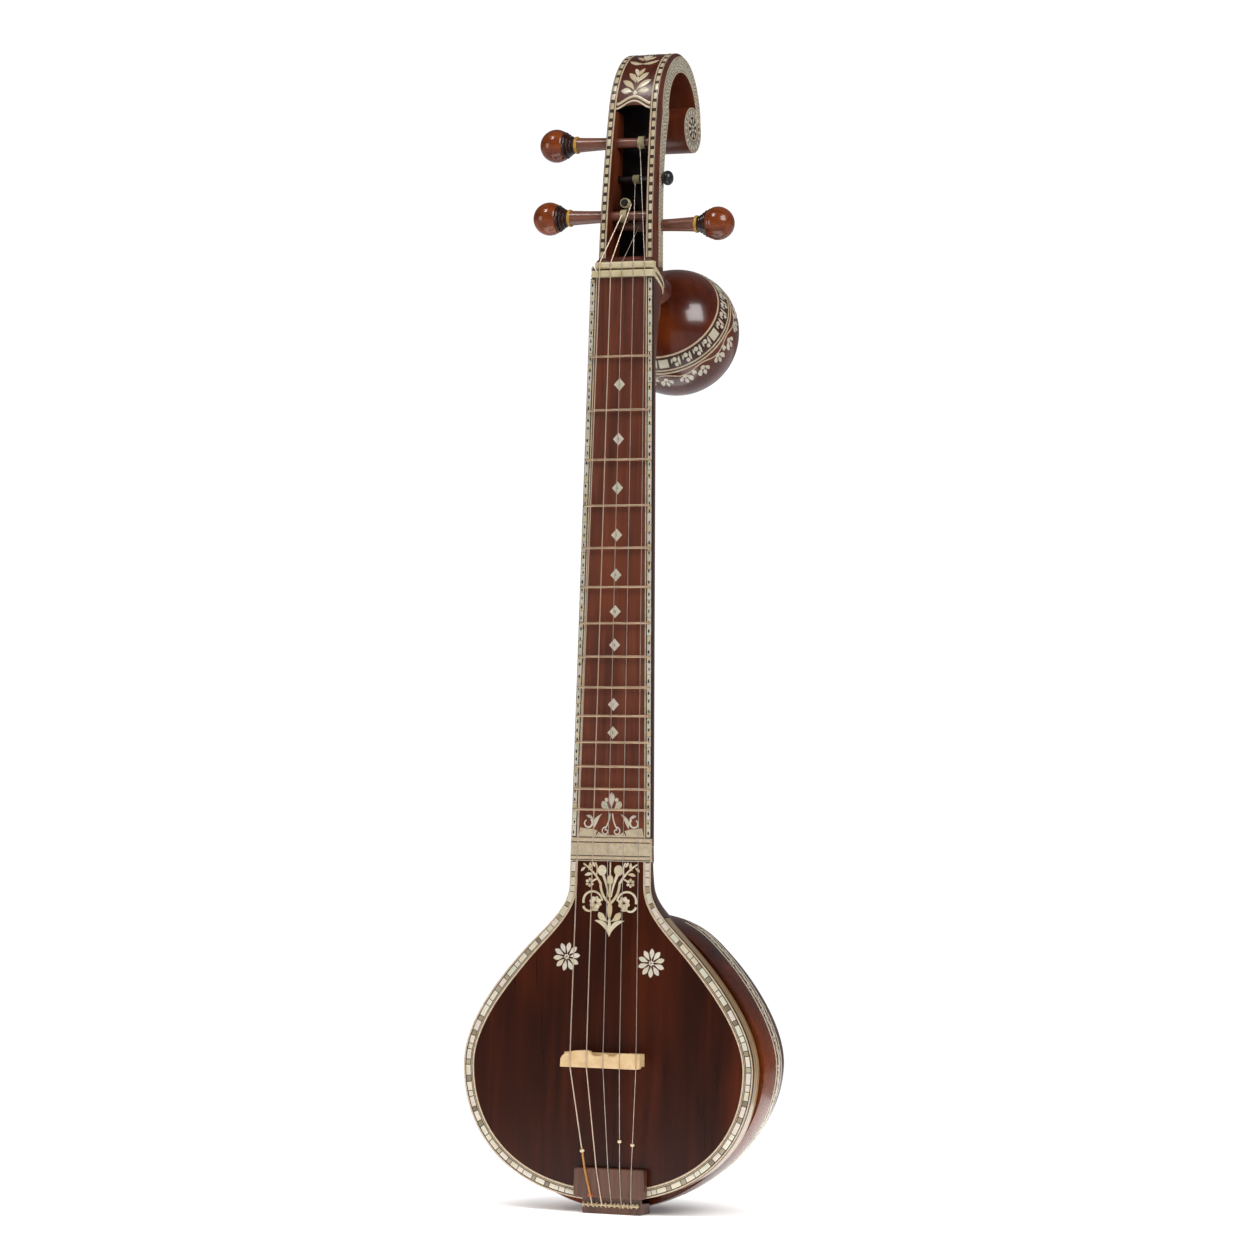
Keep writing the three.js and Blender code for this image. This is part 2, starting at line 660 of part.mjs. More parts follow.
function makeHead() {
  const slotHalfWidth = (z) => headHalfWidth(z) - HEAD_WALL;
  const cutters = [headSolid(slotOutline(), slotHalfWidth, 1), backCorners()];
  const hole = (fromRadius, from, toRadius, to) =>
    turned(
      [
        [0, from],
        [fromRadius + PEG_HOLE_GAP, from],
        [toRadius + PEG_HOLE_GAP, to],
        [0, to],
      ],
      HOLE_SIDES,
    );
  for (const peg of PEGS) {
    const tip = peg.ball ? PEG_TIP_RADIUS : SHORT_PEG_TIP_RADIUS;
    const shaft = peg.ball ? PEG_SHAFT_RADIUS : SHORT_PEG_SHAFT_RADIUS;
    const pegHole = hole(tip, PEG_HOLE_END - headHalfWidth(peg.z), shaft, HEAD_BACK_Y);
    pegHole.rotateZ(peg.side < 0 ? Math.PI / 2 : -Math.PI / 2);
    cutters.push(pegHole.translate(0, peg.y, peg.z));
  }
  const inside = HEAD_BACK_Y - HEAD_WALL - 5;
  const rearHole = hole(SHORT_PEG_SHAFT_RADIUS, inside, SHORT_PEG_SHAFT_RADIUS, HEAD_BACK_Y + 5);
  cutters.push(rearHole.translate(REAR_PEG.x, 0, REAR_PEG.z));
  return cutAway(headSolid(headOutline(), headHalfWidth, 16), ...cutters);
}

// ---- pegs --------------------------------------------------------------------------------------

const RING_OFFSET = 23; // from the middle of the ball to the middle of the coloured ring
const RING_HALF_LENGTH = 1.6;

// A ball-headed tuning peg along +Y, measured from the middle of the peg box to the ball's middle.
function ballPegProfile(peg) {
  const ball = 16.6;
  const wall = headHalfWidth(peg.z);
  const tip = PEG_TIP_INSET - wall;
  const ring = peg.headAt - RING_OFFSET;
  const ballPoints = Array.from({ length: 9 }, (_, i) => {
    const angle = lerp(deg(-52), deg(90), i / 8);
    return [i === 8 ? 0 : ball * Math.cos(angle), peg.headAt + ball * Math.sin(angle)];
  });
  return [
    [0, tip],
    [PEG_TIP_RADIUS, tip],
    [PEG_SHAFT_RADIUS, wall],
    [7.4, ring - RING_HALF_LENGTH - GAP],
    [5.6, ring - RING_HALF_LENGTH - GAP],
    [5.6, ring + RING_HALF_LENGTH + GAP],
    [8.4, ring + RING_HALF_LENGTH + GAP],
    [7.8, ring + 4],
    [9.6, ring + 6.2],
    [8.6, ring + 8],
    ...ballPoints,
  ];
}

function shortPegProfile(headStart, tip) {
  return [
    [0, tip],
    [SHORT_PEG_TIP_RADIUS, tip],
    [SHORT_PEG_SHAFT_RADIUS, headStart],
    [5.6, headStart],
    [7.6, headStart + 2.5],
    [7.6, headStart + 6.5],
    [5, headStart + 9.2],
    [0, headStart + 10],
  ];
}

// The coloured ring sits in a groove of the peg, and the string's turns lie round the shaft.
function ringProfile(inner, outer, middle, halfLength) {
  const round = Math.min(0.8, halfLength / 2);
  return [
    [inner, middle - halfLength],
    [outer - round, middle - halfLength],
    [outer, middle - halfLength + round],
    [outer, middle + halfLength - round],
    [outer - round, middle + halfLength],
    [inner, middle + halfLength],
    [inner, middle - halfLength],
  ];
}

function makePegs() {
  for (const peg of PEGS) {
    const direction = new THREE.Vector3(peg.side, 0, 0);
    const onAxis = new THREE.Vector3(0, peg.y, peg.z);
    const wall = headHalfWidth(peg.z);
    if (peg.ball) {
      place(addMesh(peg.name, turned(ballPegProfile(peg)), look.pegWood), onAxis, direction);
      const ring = ringProfile(5.6 + GAP, 8.6, peg.headAt - RING_OFFSET, RING_HALF_LENGTH);
      place(addMesh(peg.name + "_ring", turned(ring), look.brass), onAxis, direction);
    } else {
      const profile = shortPegProfile(wall + 0.8, PEG_TIP_INSET - wall);
      place(addMesh(peg.name, turned(profile), look.ebony), onAxis, direction);
    }
    const shaft = peg.ball ? PEG_SHAFT_RADIUS : SHORT_PEG_SHAFT_RADIUS;
    const turns = ringProfile(shaft + GAP, shaft + TURNS_DEPTH, peg.side * peg.winding, TURNS_HALF_LENGTH);
    place(addMesh("winding_" + (peg.string + 1), turned(turns), look.thread), onAxis, direction);
  }
  const backward = new THREE.Vector3(0, 1, 0);
  const onAxis = new THREE.Vector3(REAR_PEG.x, 0, REAR_PEG.z);
  const profile = shortPegProfile(HEAD_BACK_Y + 2, 16);
  place(addMesh(REAR_PEG.name, turned(profile), look.ebony), onAxis, backward);
  const inner = SHORT_PEG_SHAFT_RADIUS + GAP;
  const turns = ringProfile(inner, REAR_TURNS_RADIUS, REAR_PEG.winding, TURNS_HALF_LENGTH);
  place(addMesh("winding_2", turned(turns), look.thread), onAxis, backward);
}

// ---- strings -----------------------------------------------------------------------------------

const spread = ({ first, step }, i) => first + step * i;

function stringPath(i) {
  const radius = STRING_RADII[i];
  const lift = radius + GAP;
  const anchorX = spread(ANCHOR_SPREAD, i);
  const tailX = spread(TAIL_SPREAD, i);
  const lowEdgeX = lerp(anchorX, tailX, 0.2);
  return [
    new THREE.Vector3(anchorX, ANCHOR_ROD.y - ANCHOR_ROD.radius - lift, ANCHOR_ROD.z),
    new THREE.Vector3(lowEdgeX, TAIL.front - lift, TAIL.step + 2),
    new THREE.Vector3(tailX, TAIL.front - lift, TAIL.top - 1),
    new THREE.Vector3(spread(BRIDGE_SPREAD, i), -BRIDGE_HEIGHT - lift, BRIDGE_Z - 7),
    new THREE.Vector3(spread(BRIDGE_SPREAD, i), -BRIDGE_HEIGHT - lift, BRIDGE_Z + 7),
    new THREE.Vector3(spread(NUT_SPREAD, i), -NUT_HEIGHT - lift, NUT_Z - 2),
    new THREE.Vector3(spread(NUT_SPREAD, i), -NUT_HEIGHT - lift, NUT_Z + 11),
    windingPoint(i, lift),
  ];
}

// Where a string meets the turns on its peg: the front of the drum, or its right side on the rear peg.
function windingPoint(i, lift) {
  const peg = PEGS.find((p) => p.string === i);
  if (!peg) {
    return new THREE.Vector3(REAR_PEG.x + REAR_TURNS_RADIUS + lift, REAR_PEG.winding, REAR_PEG.z - 1);
  }
  const drum = (peg.ball ? PEG_SHAFT_RADIUS : SHORT_PEG_SHAFT_RADIUS) + TURNS_DEPTH;
  return new THREE.Vector3(peg.winding, peg.y - drum - lift, peg.z);
}

function makeStrings() {
  STRING_RADII.forEach((radius, i) => {
    const material = i < 2 ? look.bronze : look.steel;
    addMesh("string_" + (i + 1), tubeThrough(stringPath(i), radius), material);
  });
}

// A straight-sided tube through the points, mitred at each bend.
function tubeThrough(points, radius, sides = 6) {
  const rings = points.map((point, k) => {
    const before = points[Math.max(k - 1, 0)];
    const after = points[Math.min(k + 1, points.length - 1)];
    const along = after.clone().sub(before).normalize();
    const across = new THREE.Vector3(1, 0, 0).addScaledVector(along, -along.x).normalize();
    const out = new THREE.Vector3().crossVectors(along, across);
    return Array.from({ length: sides }, (_, s) => {
      const angle = (s / sides) * 2 * Math.PI;
      return point
        .clone()
        .addScaledVector(across, radius * Math.cos(angle))
        .addScaledVector(out, radius * Math.sin(angle));
    });
  });
  return loft(rings);
}

// Small tuning beads, each threaded on the stretch of string between the bridge and the tail block.
const BEADS = [
  { string: 0, z: 63 },
  { string: 3, z: 74 },
  { string: 4, z: 71 },
];

function makeBeads() {
  for (const { string, z } of BEADS) {
    const [, , tail, bridge] = stringPath(string);
    const share = (z - tail.z) / (bridge.z - tail.z);
    const middle = tail.clone().lerp(bridge, share);
    const hole = STRING_RADII[string] + GAP;
    const bead = ringProfile(hole, hole + 1.3, 0, 1.4);
    const mesh = addMesh("tuning_bead_" + (string + 1), turned(bead, 12), look.ivory);
    place(mesh, middle, bridge.clone().sub(tail));
  }
}

// ---- bridge and tail ---------------------------------------------------------------------------

// A broad plate on a narrower base; the base stands on two feet with a low arch between them.
function makeBridge() {
  const half = 43.5;
  const plateFront = -BRIDGE_HEIGHT;
  const plateBack = plateFront + 6;
  const plate = slab(roundedEnd(-half, half, BRIDGE_Z - 9, BRIDGE_Z + 9), plateFront, plateBack - GAP);
  addMesh("bridge_plate", plate, look.bridgeBone);
  const base = new THREE.Shape();
  base.moveTo(-half + 2, GAP);
  base.lineTo(-half + 2, -plateBack);
  base.lineTo(half - 2, -plateBack);
  base.lineTo(half - 2, GAP);
  base.lineTo(half - 18, GAP);
  base.quadraticCurveTo(half - 22, 7.5, 0, 7.5);
  base.quadraticCurveTo(-half + 22, 7.5, -half + 18, GAP);
  const depth = 13;
  const baseSolid = new THREE.ExtrudeGeometry(base, { depth, bevelEnabled: false, curveSegments: 6 })
    .rotateZ(Math.PI)
    .translate(0, 0, BRIDGE_Z - depth / 2);
  addMesh("bridge_base", baseSolid, look.bridgeBone);
}

// A rectangle whose left end is rounded over.
function roundedEnd(x0, x1, z0, z1) {
  const round = 8;
  const shape = new THREE.Shape();
  shape.moveTo(x0, z0);
  shape.lineTo(x1, z0);
  shape.lineTo(x1, z1);
  shape.lineTo(x0 + round, z1);
  shape.quadraticCurveTo(x0, z1, x0, z1 - round);
  return shape;
}

// The tail block hooks over the bottom edge: a front plate, and a foot under the rim.
function makeTail() {
  const plate = boxBetween(TAIL.left, TAIL.right, TAIL.front, -GAP, TAIL.step, TAIL.top);
  const web = boxBetween(FOOT.left, FOOT.right, FOOT.front, -GAP, 0, TAIL.step + 1);
  const foot = boxBetween(FOOT.left, FOOT.right, FOOT.front, FOOT.back, 0, FOOT.top);
  const block = solidOf(plate).add(solidOf(web)).add(solidOf(foot));
  addMesh("tail_block", geometryOf(block), look.blockWood);
  const rod = turned(
    [
      [0, FOOT.left + 1],
      [ANCHOR_ROD.radius, FOOT.left + 1],
      [ANCHOR_ROD.radius, FOOT.right - 1],
      [0, FOOT.right - 1],
    ],
    10,
  );
  const mesh = addMesh("anchor_rod", rod, look.brass);
  place(mesh, new THREE.Vector3(0, ANCHOR_ROD.y, ANCHOR_ROD.z), new THREE.Vector3(1, 0, 0));
}

// ---- upper gourd -------------------------------------------------------------------------------

function makeTumba() {
  const towardsNeck = new THREE.Vector3(0, -Math.cos(TUMBA_TILT), Math.sin(TUMBA_TILT));
  const steps = 14;
  const holeAngle = Math.acos(TUMBA_HOLE_RADIUS / TUMBA_RADIUS);
  const outer = [];
  const inner = [];
  for (let i = 0; i <= steps; i++) {
    const angle = lerp(-Math.PI / 2, holeAngle, i / steps);
    const clearOfAxis = i > 0;
    outer.push([clearOfAxis ? TUMBA_RADIUS * Math.cos(angle) : 0, TUMBA_RADIUS * Math.sin(angle)]);
    const inside = TUMBA_RADIUS - TUMBA_WALL;
    const innerHole = Math.acos(TUMBA_HOLE_RADIUS / inside);
    const innerAngle = lerp(-Math.PI / 2, innerHole, i / steps);
    inner.push([clearOfAxis ? inside * Math.cos(innerAngle) : 0, inside * Math.sin(innerAngle)]);
  }
  const shell = turned([...outer, ...inner.reverse()], 32);
  place(addMesh("upper_gourd", shell, look.bodyWood), TUMBA_CENTRE, towardsNeck);

  // The stem stands on the back of the peg box and is bored for the screw that holds the gourd.
  const bore = TUMBA_SCREW_RADIUS + GAP;
  const start = TUMBA_RADIUS + 0.8;
  const stem = turned(
    [
      [bore, start],
      [17, start],
      [18, start + 3],
      [15.5, start + 9],
      [15, start + 24],
      [18, start + 42],
      [22, 150],
      [bore, 150],
      [bore, start],
    ],
    24,
  );
  const placed = new THREE.Matrix4()
    .makeRotationFromQuaternion(
      new THREE.Quaternion().setFromUnitVectors(new THREE.Vector3(0, 1, 0), towardsNeck),
    )
    .setPosition(TUMBA_CENTRE);
  const neckBack = loft([...NECK_FLARE_LEVELS, NECK_TOP_Z].map((z) => neckLevel(z, GAP)));
  const headBack = loft(HEAD_BACK_LEVELS.map((z) => headBackLevel(z, GAP)));
  const inside = boxBetween(-60, 60, -60, HEAD_SIDE_DEPTH, 850, 1100);
  addMesh("gourd_stem", cutAway(stem.applyMatrix4(placed), inside, neckBack, headBack), look.neckWood);

  const screw = turned([
    [0, TUMBA_RADIUS - 22],
    [TUMBA_SCREW_RADIUS, TUMBA_RADIUS - 22],
    [TUMBA_SCREW_RADIUS, start + 34],
    [0, start + 34],
  ]);
  place(addMesh("gourd_screw", screw, look.steel), TUMBA_CENTRE, towardsNeck);
}

makeBody();
makeNeckAssembly();
makeNuts();
addMesh("peg_box_and_scroll", makeHead(), look.bodyWood);
makePegs();
makeStrings();
makeBeads();
makeBridge();
makeTail();
makeTumba();

export default sitar;
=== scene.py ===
"""The looks of the sitar: fine meshes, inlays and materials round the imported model.

Shapes are worked out in millimetres in the model's frame and made in metres: +Z runs up the neck, +X to
the right as seen by someone facing the soundboard, and the front faces -Y.
"""
import json
import math
import random

import bmesh
import bpy
from mathutils import Matrix, Vector


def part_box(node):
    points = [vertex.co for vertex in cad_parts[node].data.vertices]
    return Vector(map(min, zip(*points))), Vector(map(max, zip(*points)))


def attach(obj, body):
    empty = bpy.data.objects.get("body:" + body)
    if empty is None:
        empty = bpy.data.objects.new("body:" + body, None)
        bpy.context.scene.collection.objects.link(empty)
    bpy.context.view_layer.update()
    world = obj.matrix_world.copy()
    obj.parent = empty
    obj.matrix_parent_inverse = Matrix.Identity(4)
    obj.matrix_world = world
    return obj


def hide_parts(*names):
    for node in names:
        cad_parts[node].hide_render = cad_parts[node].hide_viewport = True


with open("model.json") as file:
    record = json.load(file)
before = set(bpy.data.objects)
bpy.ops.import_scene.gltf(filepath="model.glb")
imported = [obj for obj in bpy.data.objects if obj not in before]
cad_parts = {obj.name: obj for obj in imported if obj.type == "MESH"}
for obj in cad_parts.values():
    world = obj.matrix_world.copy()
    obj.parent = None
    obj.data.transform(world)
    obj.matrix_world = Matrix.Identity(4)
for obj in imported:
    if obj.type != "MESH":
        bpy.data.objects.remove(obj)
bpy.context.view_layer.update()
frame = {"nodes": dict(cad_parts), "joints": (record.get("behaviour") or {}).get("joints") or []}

MM = 0.001
GAP = 0.3  # clearance between neighbouring pieces
TOUCH = 0.05  # clearance of a piece cut to another's shape


def box_of(node):
    """Lowest and highest corner of a CAD node, in millimetres."""
    low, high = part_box(node)
    return low / MM, high / MM


# ---- driving dimensions, as in the model ------------------------------------------------------------

FACE_BOTTOM_Z = 12
FACE_WIDEST_Z = 147
FACE_HALF_WIDTH = 158.5
SHOULDER = Vector((94, 264))
SHOULDER_RISE = Vector((-0.68, 0.733))
NECK_ROOT_Z = 332
NECK_ROOT_HALF_WIDTH = 44.5
SOUNDBOARD_TOP_Z = 356
BOARD_THICKNESS = 4
BINDING_WIDTH = 11.5
BINDING_AT_NECK = 0.7  # share of the width left where the outline meets the neck
RIM_BACK_Y = 22
RIM_TOP_Z = 300

GOURD_RADIUS = 164
GOURD_BOTTOM_Z = 2
GOURD_WIDEST_Z = 150
GOURD_SHOULDER = Vector((107, 260))
GOURD_TOP_Z = 305
GOURD_AXIS_Y = 47
GOURD_LEAN = 0.09
GOURD_WALL = 6

JOINT_PLATE_TOP_Z = 380
NECK_BOTTOM_Z = 372
NECK_TOP_Z = 962
NECK_TOP_HALF_WIDTH = 34
NECK_DEPTH = 36
NECK_FLARE_Z = 870
NECK_BORDER_WIDTH = 7.5
NUT_Z = 957
BRIDGE_Z = 156

STRING_RADII = [0.6, 0.55, 0.35, 0.35, 0.35]
ANCHOR_SPREAD = (-9, 10.6)  # x of the first string, and the step to the next
TAIL_SPREAD = (-17.5, 12.7)
BRIDGE_SPREAD = (-32, 18)
NUT_SPREAD = (-22, 12.4)
NUT_HEIGHT = 5.7
BRIDGE_HEIGHT = 19.4
TAIL_FRONT_Y = -10
TAIL_TOP_Z = 46
TAIL_STEP_Z = 16

HEAD_BOTTOM_HALF_WIDTH = 30.2
HEAD_TOP_HALF_WIDTH = 25.8
HEAD_TOP_Z = 1197
HEAD_BACK_Y = 54
HEAD_SIDE_DEPTH = 37  # the sides are flat as far back as this; behind it the back is rounded
HEAD_ROUND_FROM_Z = 1000  # from here up the rounding fades
HEAD_ROUND_TOP_Z = 1128
HEAD_WALL = 8.3
# points in y and z
HEAD_FOOT = Vector((10.6, 974))
FRONT_SLOPE = 0.15
SCROLL_CENTRE = Vector((85, 1117))
SCROLL_RADII = Vector((63, 80))
SCROLL_ANGLES = (3, 169.2)
HOLLOW_CENTRE = Vector((94, 1131))
HOLLOW_RADII = Vector((40, 47.5))
HOLLOW_END = 15
VOLUTE_CENTRE = Vector((123.5, 1123))
VOLUTE_RADIUS = 24
VOLUTE_ANGLES = (66, 355)

TUMBA_CENTRE = Vector((0, 156, 914))
TUMBA_RADIUS = 66.5
TUMBA_WALL = 8
TUMBA_HOLE_RADIUS = 7
TUMBA_TILT = math.radians(30)

rng = random.Random(7)


def lerp(a, b, share):
    return a + (b - a) * share


def smoothstep(value, low, high):
    share = min(1, max(0, (value - low) / (high - low)))
    return share * share * (3 - 2 * share)


# ---- camera, floor and light ------------------------------------------------------------------------

CAMERA_PLACE = Vector((1.67685, -4.1176, 0.39009))
CAMERA_AZIMUTH = math.radians(22.026)
CAMERA_ELEVATION = math.radians(-2.667)
CAMERA_ROLL = math.radians(1.078)
CAMERA_LENS = 125.67
# how brightly each thing round the object shines
WHITE_GLOW = 1.05  # what the camera sees behind the object
BACKDROP_REACH = (-0.1, 0.9)  # sine of the angle, from the side towards the back, where the glow grows
FRONT_GLOW = 0.04
BACKDROP_GLOW = 0.16
GROUND_GLOW = 0.34
HORIZON = (-0.085, -0.045)  # sine of the elevation between which the ground ends
FLOOR_Z = -0.4
FLOOR_GLOW = 0.1
FLOOR_RADIUS = 0.62
FLOOR_WASH = 480  # watts, on the floor alone


def make_camera():
    back = Vector((math.sin(CAMERA_AZIMUTH), -math.cos(CAMERA_AZIMUTH), 0)) * math.cos(CAMERA_ELEVATION)
    back.z = math.sin(CAMERA_ELEVATION)
    level = Vector((math.cos(CAMERA_AZIMUTH), math.sin(CAMERA_AZIMUTH), 0))
    upright = back.cross(level)
    right = level * math.cos(CAMERA_ROLL) + upright * math.sin(CAMERA_ROLL)
    up = upright * math.cos(CAMERA_ROLL) - level * math.sin(CAMERA_ROLL)
    data = bpy.data.cameras.new("camera")
    data.lens = CAMERA_LENS
    data.sensor_width = 36
    data.clip_end = 60
    camera = bpy.data.objects.new("camera", data)
    turn = Matrix((right, up, back)).transposed().to_4x4()
    camera.matrix_world = Matrix.Translation(CAMERA_PLACE) @ turn
    bpy.context.scene.collection.objects.link(camera)
    bpy.context.scene.camera = camera


def area_light(name, place, target, size, power, colour=(1, 1, 1)):
    """A square light with its size in metres and its power in watts."""
    data = bpy.data.lights.new(name, "AREA")
    data.shape = "RECTANGLE"
    data.size = data.size_y = size
    data.energy = power
    data.color = colour
    light = bpy.data.objects.new(name, data)
    light.location = place
    light.rotation_euler = (Vector(target) - Vector(place)).to_track_quat("-Z", "Y").to_euler()
    bpy.context.scene.collection.objects.link(light)
    return light


def add_node(tree, kind, inputs):
    """A shader node; each of its inputs is a value or another node's output."""
    node = tree.nodes.new("ShaderNode" + kind)
    for name, value in inputs.items():
        feed(tree, node.inputs[name], value)
    return node


def feed(tree, socket, value):
    if isinstance(value, bpy.types.NodeSocket):
        tree.links.new(value, socket)
    else:
        socket.default_value = value


def map_range(tree, value, from_range, to_range):
    limits = {"From Min": from_range[0], "From Max": from_range[1]}
    limits.update({"To Min": to_range[0], "To Max": to_range[1]})
    return add_node(tree, "MapRange", {"Value": value, **limits}).outputs["Result"]


def make_world():
    """White to the camera; what the object mirrors is dim in front, and brighter behind and below."""
    world = bpy.data.worlds.new("studio")
    world.use_nodes = True
    tree = world.node_tree
    seen = add_node(tree, "Background", {"Color": (1, 1, 1, 1), "Strength": WHITE_GLOW})
    direction = add_node(tree, "TexCoord", {}).outputs["Generated"]
    split = add_node(tree, "SeparateXYZ", {"Vector": direction}).outputs
    backdrop = map_range(tree, split["Y"], BACKDROP_REACH, (FRONT_GLOW, BACKDROP_GLOW))
    ground = map_range(tree, split["Z"], HORIZON, (GROUND_GLOW, 0))
    total = add_node(tree, "Math", {0: backdrop, 1: ground})
    mirrored = tree.nodes["Background"]
    feed(tree, mirrored.inputs["Color"], (0.95, 0.97, 1, 1))
    feed(tree, mirrored.inputs["Strength"], total.outputs["Value"])
    to_camera = add_node(tree, "LightPath", {}).outputs["Is Camera Ray"]
    shaders = {1: mirrored.outputs["Background"], 2: seen.outputs["Background"]}
    mix = add_node(tree, "MixShader", {"Fac": to_camera, **shaders})
    tree.links.new(mix.outputs["Shader"], tree.nodes["World Output"].inputs["Surface"])
    bpy.context.scene.world = world


def make_floor():
    """A small bright disc, just under the object."""
    bpy.ops.mesh.primitive_circle_add(
        vertices=96, radius=FLOOR_RADIUS, fill_type="NGON", location=(0, 0, FLOOR_Z * MM)
    )
    floor = bpy.context.object
    floor.name = "floor"
    paint = Paint("floor_paint", 0.9, specular=0.1)
    paint.feed("Base Color", (0.9, 0.9, 0.9, 1))
    paint.feed("Emission Color", (1, 1, 1, 1))
    paint.feed("Emission Strength", FLOOR_GLOW)
    floor.data.materials.append(paint.material)
    return floor


def make_studio():
    floor_only = bpy.data.collections.new("floor_only")
    floor_only.objects.link(make_floor())
    make_world()
    area_light("key", (2.6, -1.5, 2.75), (0, 0.1, 0.9), 1.9, 80, (1, 0.98, 0.95))
    area_light("window", (-0.85, -2.0, 3.5), (0, 0, 0.9), 0.7, 26, (1, 0.99, 0.98))
    area_light("fill", (-2.8, -2.4, 0.9), (0, 0, 0.5), 1.4, 19, (1, 0.96, 0.92))
    wash = area_light("floor_wash", (0.1, -0.6, 2.4), (0, 0, 0), 9, FLOOR_WASH)
    wash.light_linking.receiver_collection = floor_only
    view = bpy.context.scene.view_settings
    view.view_transform = "Standard"
    view.look = "None"


# ---- building meshes --------------------------------------------------------------------------------


class Skin:
    """Points and faces in millimetres, gathered before they become one mesh."""

    def __init__(self):
        self.points = []
        self.faces = []

    def loft(self, rings, caps=True, closed=True):
        """A skin through rings of points; closed joins each ring's end to its start."""
        start = len(self.points)
        count = len(rings[0])
        for ring in rings:
            self.points.extend(ring)
        spans = count if closed else count - 1
        for level in range(len(rings) - 1):
            low = start + level * count
            for i in range(spans):
                j = (i + 1) % count
                self.faces.append((low + i, low + j, low + count + j, low + count + i))
        if caps:
            last = start + (len(rings) - 1) * count
            self.faces.append(tuple(start + i for i in reversed(range(count))))
            self.faces.append(tuple(last + i for i in range(count)))
        return self

    def lathe(self, profile, origin, axis, segments=48, ripple=None, caps=False):
        """Turns (radius, distance) points about an axis; ripple(angle, distance) scales the radius."""
        axis = Vector(axis).normalized()
        across = axis.orthogonal().normalized()
        other = axis.cross(across)
        rings = []
        for radius, along in profile:
            ring = []
            for i in range(segments):
                angle = 2 * math.pi * i / segments
                r = radius * (ripple(angle, along) if ripple else 1)
                spoke = across * math.cos(angle) + other * math.sin(angle)
                ring.append(Vector(origin) + axis * along + spoke * r)
            rings.append(ring)
        return self.loft(rings, caps)

    def tube(self, path, radius, sides=10):
        """A round tube along 3D points."""
        normal = (path[1] - path[0]).normalized().orthogonal().normalized()
        rings = []
        for k, point in enumerate(path):
            along = (path[min(k + 1, len(path) - 1)] - path[max(k - 1, 0)]).normalized()
            normal = (normal - along * normal.dot(along)).normalized()
            other = along.cross(normal)
            spokes = arc((0, 0), (radius, radius), 0, 360, sides)[:-1]
            rings.append([point + normal * spoke.x + other * spoke.y for spoke in spokes])
        return self.loft(rings)

    def prism(self, outline, to_point, low, high):
        """A flat outline pushed from low to high; to_point(a, b, height) gives the 3D point."""
        return self.loft([[to_point(a, b, height) for a, b in outline] for height in (low, high)])


def slab(outline, front, back):
    """An outline in x and z, given a thickness in y."""
    return Skin().prism(outline, lambda x, z, y: Vector((x, y, z)), front, back)


def block(half_width, front, back, bottom, top):
    corners = [(-half_width, bottom), (half_width, bottom), (half_width, top), (-half_width, top)]
    return make_mesh("block", slab(corners, front, back))


def make_mesh(name, skin, sharp_degrees=32):
    mesh = bpy.data.meshes.new(name)
    mesh.from_pydata([p * MM for p in skin.points], [], skin.faces)
    clean = bmesh.new()
    clean.from_mesh(mesh)
    bmesh.ops.remove_doubles(clean, verts=clean.verts, dist=2e-6)
    bmesh.ops.dissolve_degenerate(clean, dist=1e-7, edges=clean.edges)
    bmesh.ops.recalc_face_normals(clean, faces=clean.faces)
    clean.to_mesh(mesh)
    clean.free()
    shade(mesh, sharp_degrees)
    return mesh


def shade(mesh, sharp_degrees):
    mesh.polygons.foreach_set("use_smooth", [True] * len(mesh.polygons))
    mesh.set_sharp_from_angle(angle=math.radians(sharp_degrees))


def make_piece(
    name, skin, kind, slot="mosaic_inlay", body="root", replaces=(), bevel=0, sharp_degrees=32
):
    """Adds a piece made of a skin or a finished mesh; kind names its material in `look`."""
    mesh = skin if isinstance(skin, bpy.types.Mesh) else make_mesh(name, skin, sharp_degrees)
    mesh.materials.append(look[kind])
    piece = bpy.data.objects.new(name, mesh)
    bpy.context.scene.collection.objects.link(piece)
    if bevel:
        edge = piece.modifiers.new("bevel", "BEVEL")
        edge.width = bevel * MM
        edge.segments = 3
        edge.limit_method = "ANGLE"
        edge.angle_limit = math.radians(35)
        edge.harden_normals = True
    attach(piece, body)
    if replaces:
        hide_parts(*replaces)
    return piece


def applied(mesh, name, modifiers):
    """The mesh with modifiers applied; modifiers is a list of (type, settings)."""
    holder = bpy.data.objects.new("holder", mesh)
    bpy.context.scene.collection.objects.link(holder)
    for kind, settings in modifiers:
        modifier = holder.modifiers.new(kind, kind)
        for key, value in settings.items():
            setattr(modifier, key, value)
    depsgraph = bpy.context.evaluated_depsgraph_get()
    result = bpy.data.meshes.new_from_object(holder.evaluated_get(depsgraph), depsgraph=depsgraph)
    result.name = name
    bpy.data.objects.remove(holder)
    return result


def cut(mesh, cutters, name):
    """The mesh less every cutter mesh."""
    holders = []
    steps = []
    for cutter in cutters:
        holder = bpy.data.objects.new("cutter", cutter)
        bpy.context.scene.collection.objects.link(holder)
        holders.append(holder)
        steps.append(("BOOLEAN", {"object": holder, "operation": "DIFFERENCE", "solver": "EXACT"}))
    result = applied(mesh, name, steps)
    for holder in holders:
        bpy.data.objects.remove(holder)
    return result


# ---- curves in a plane ------------------------------------------------------------------------------


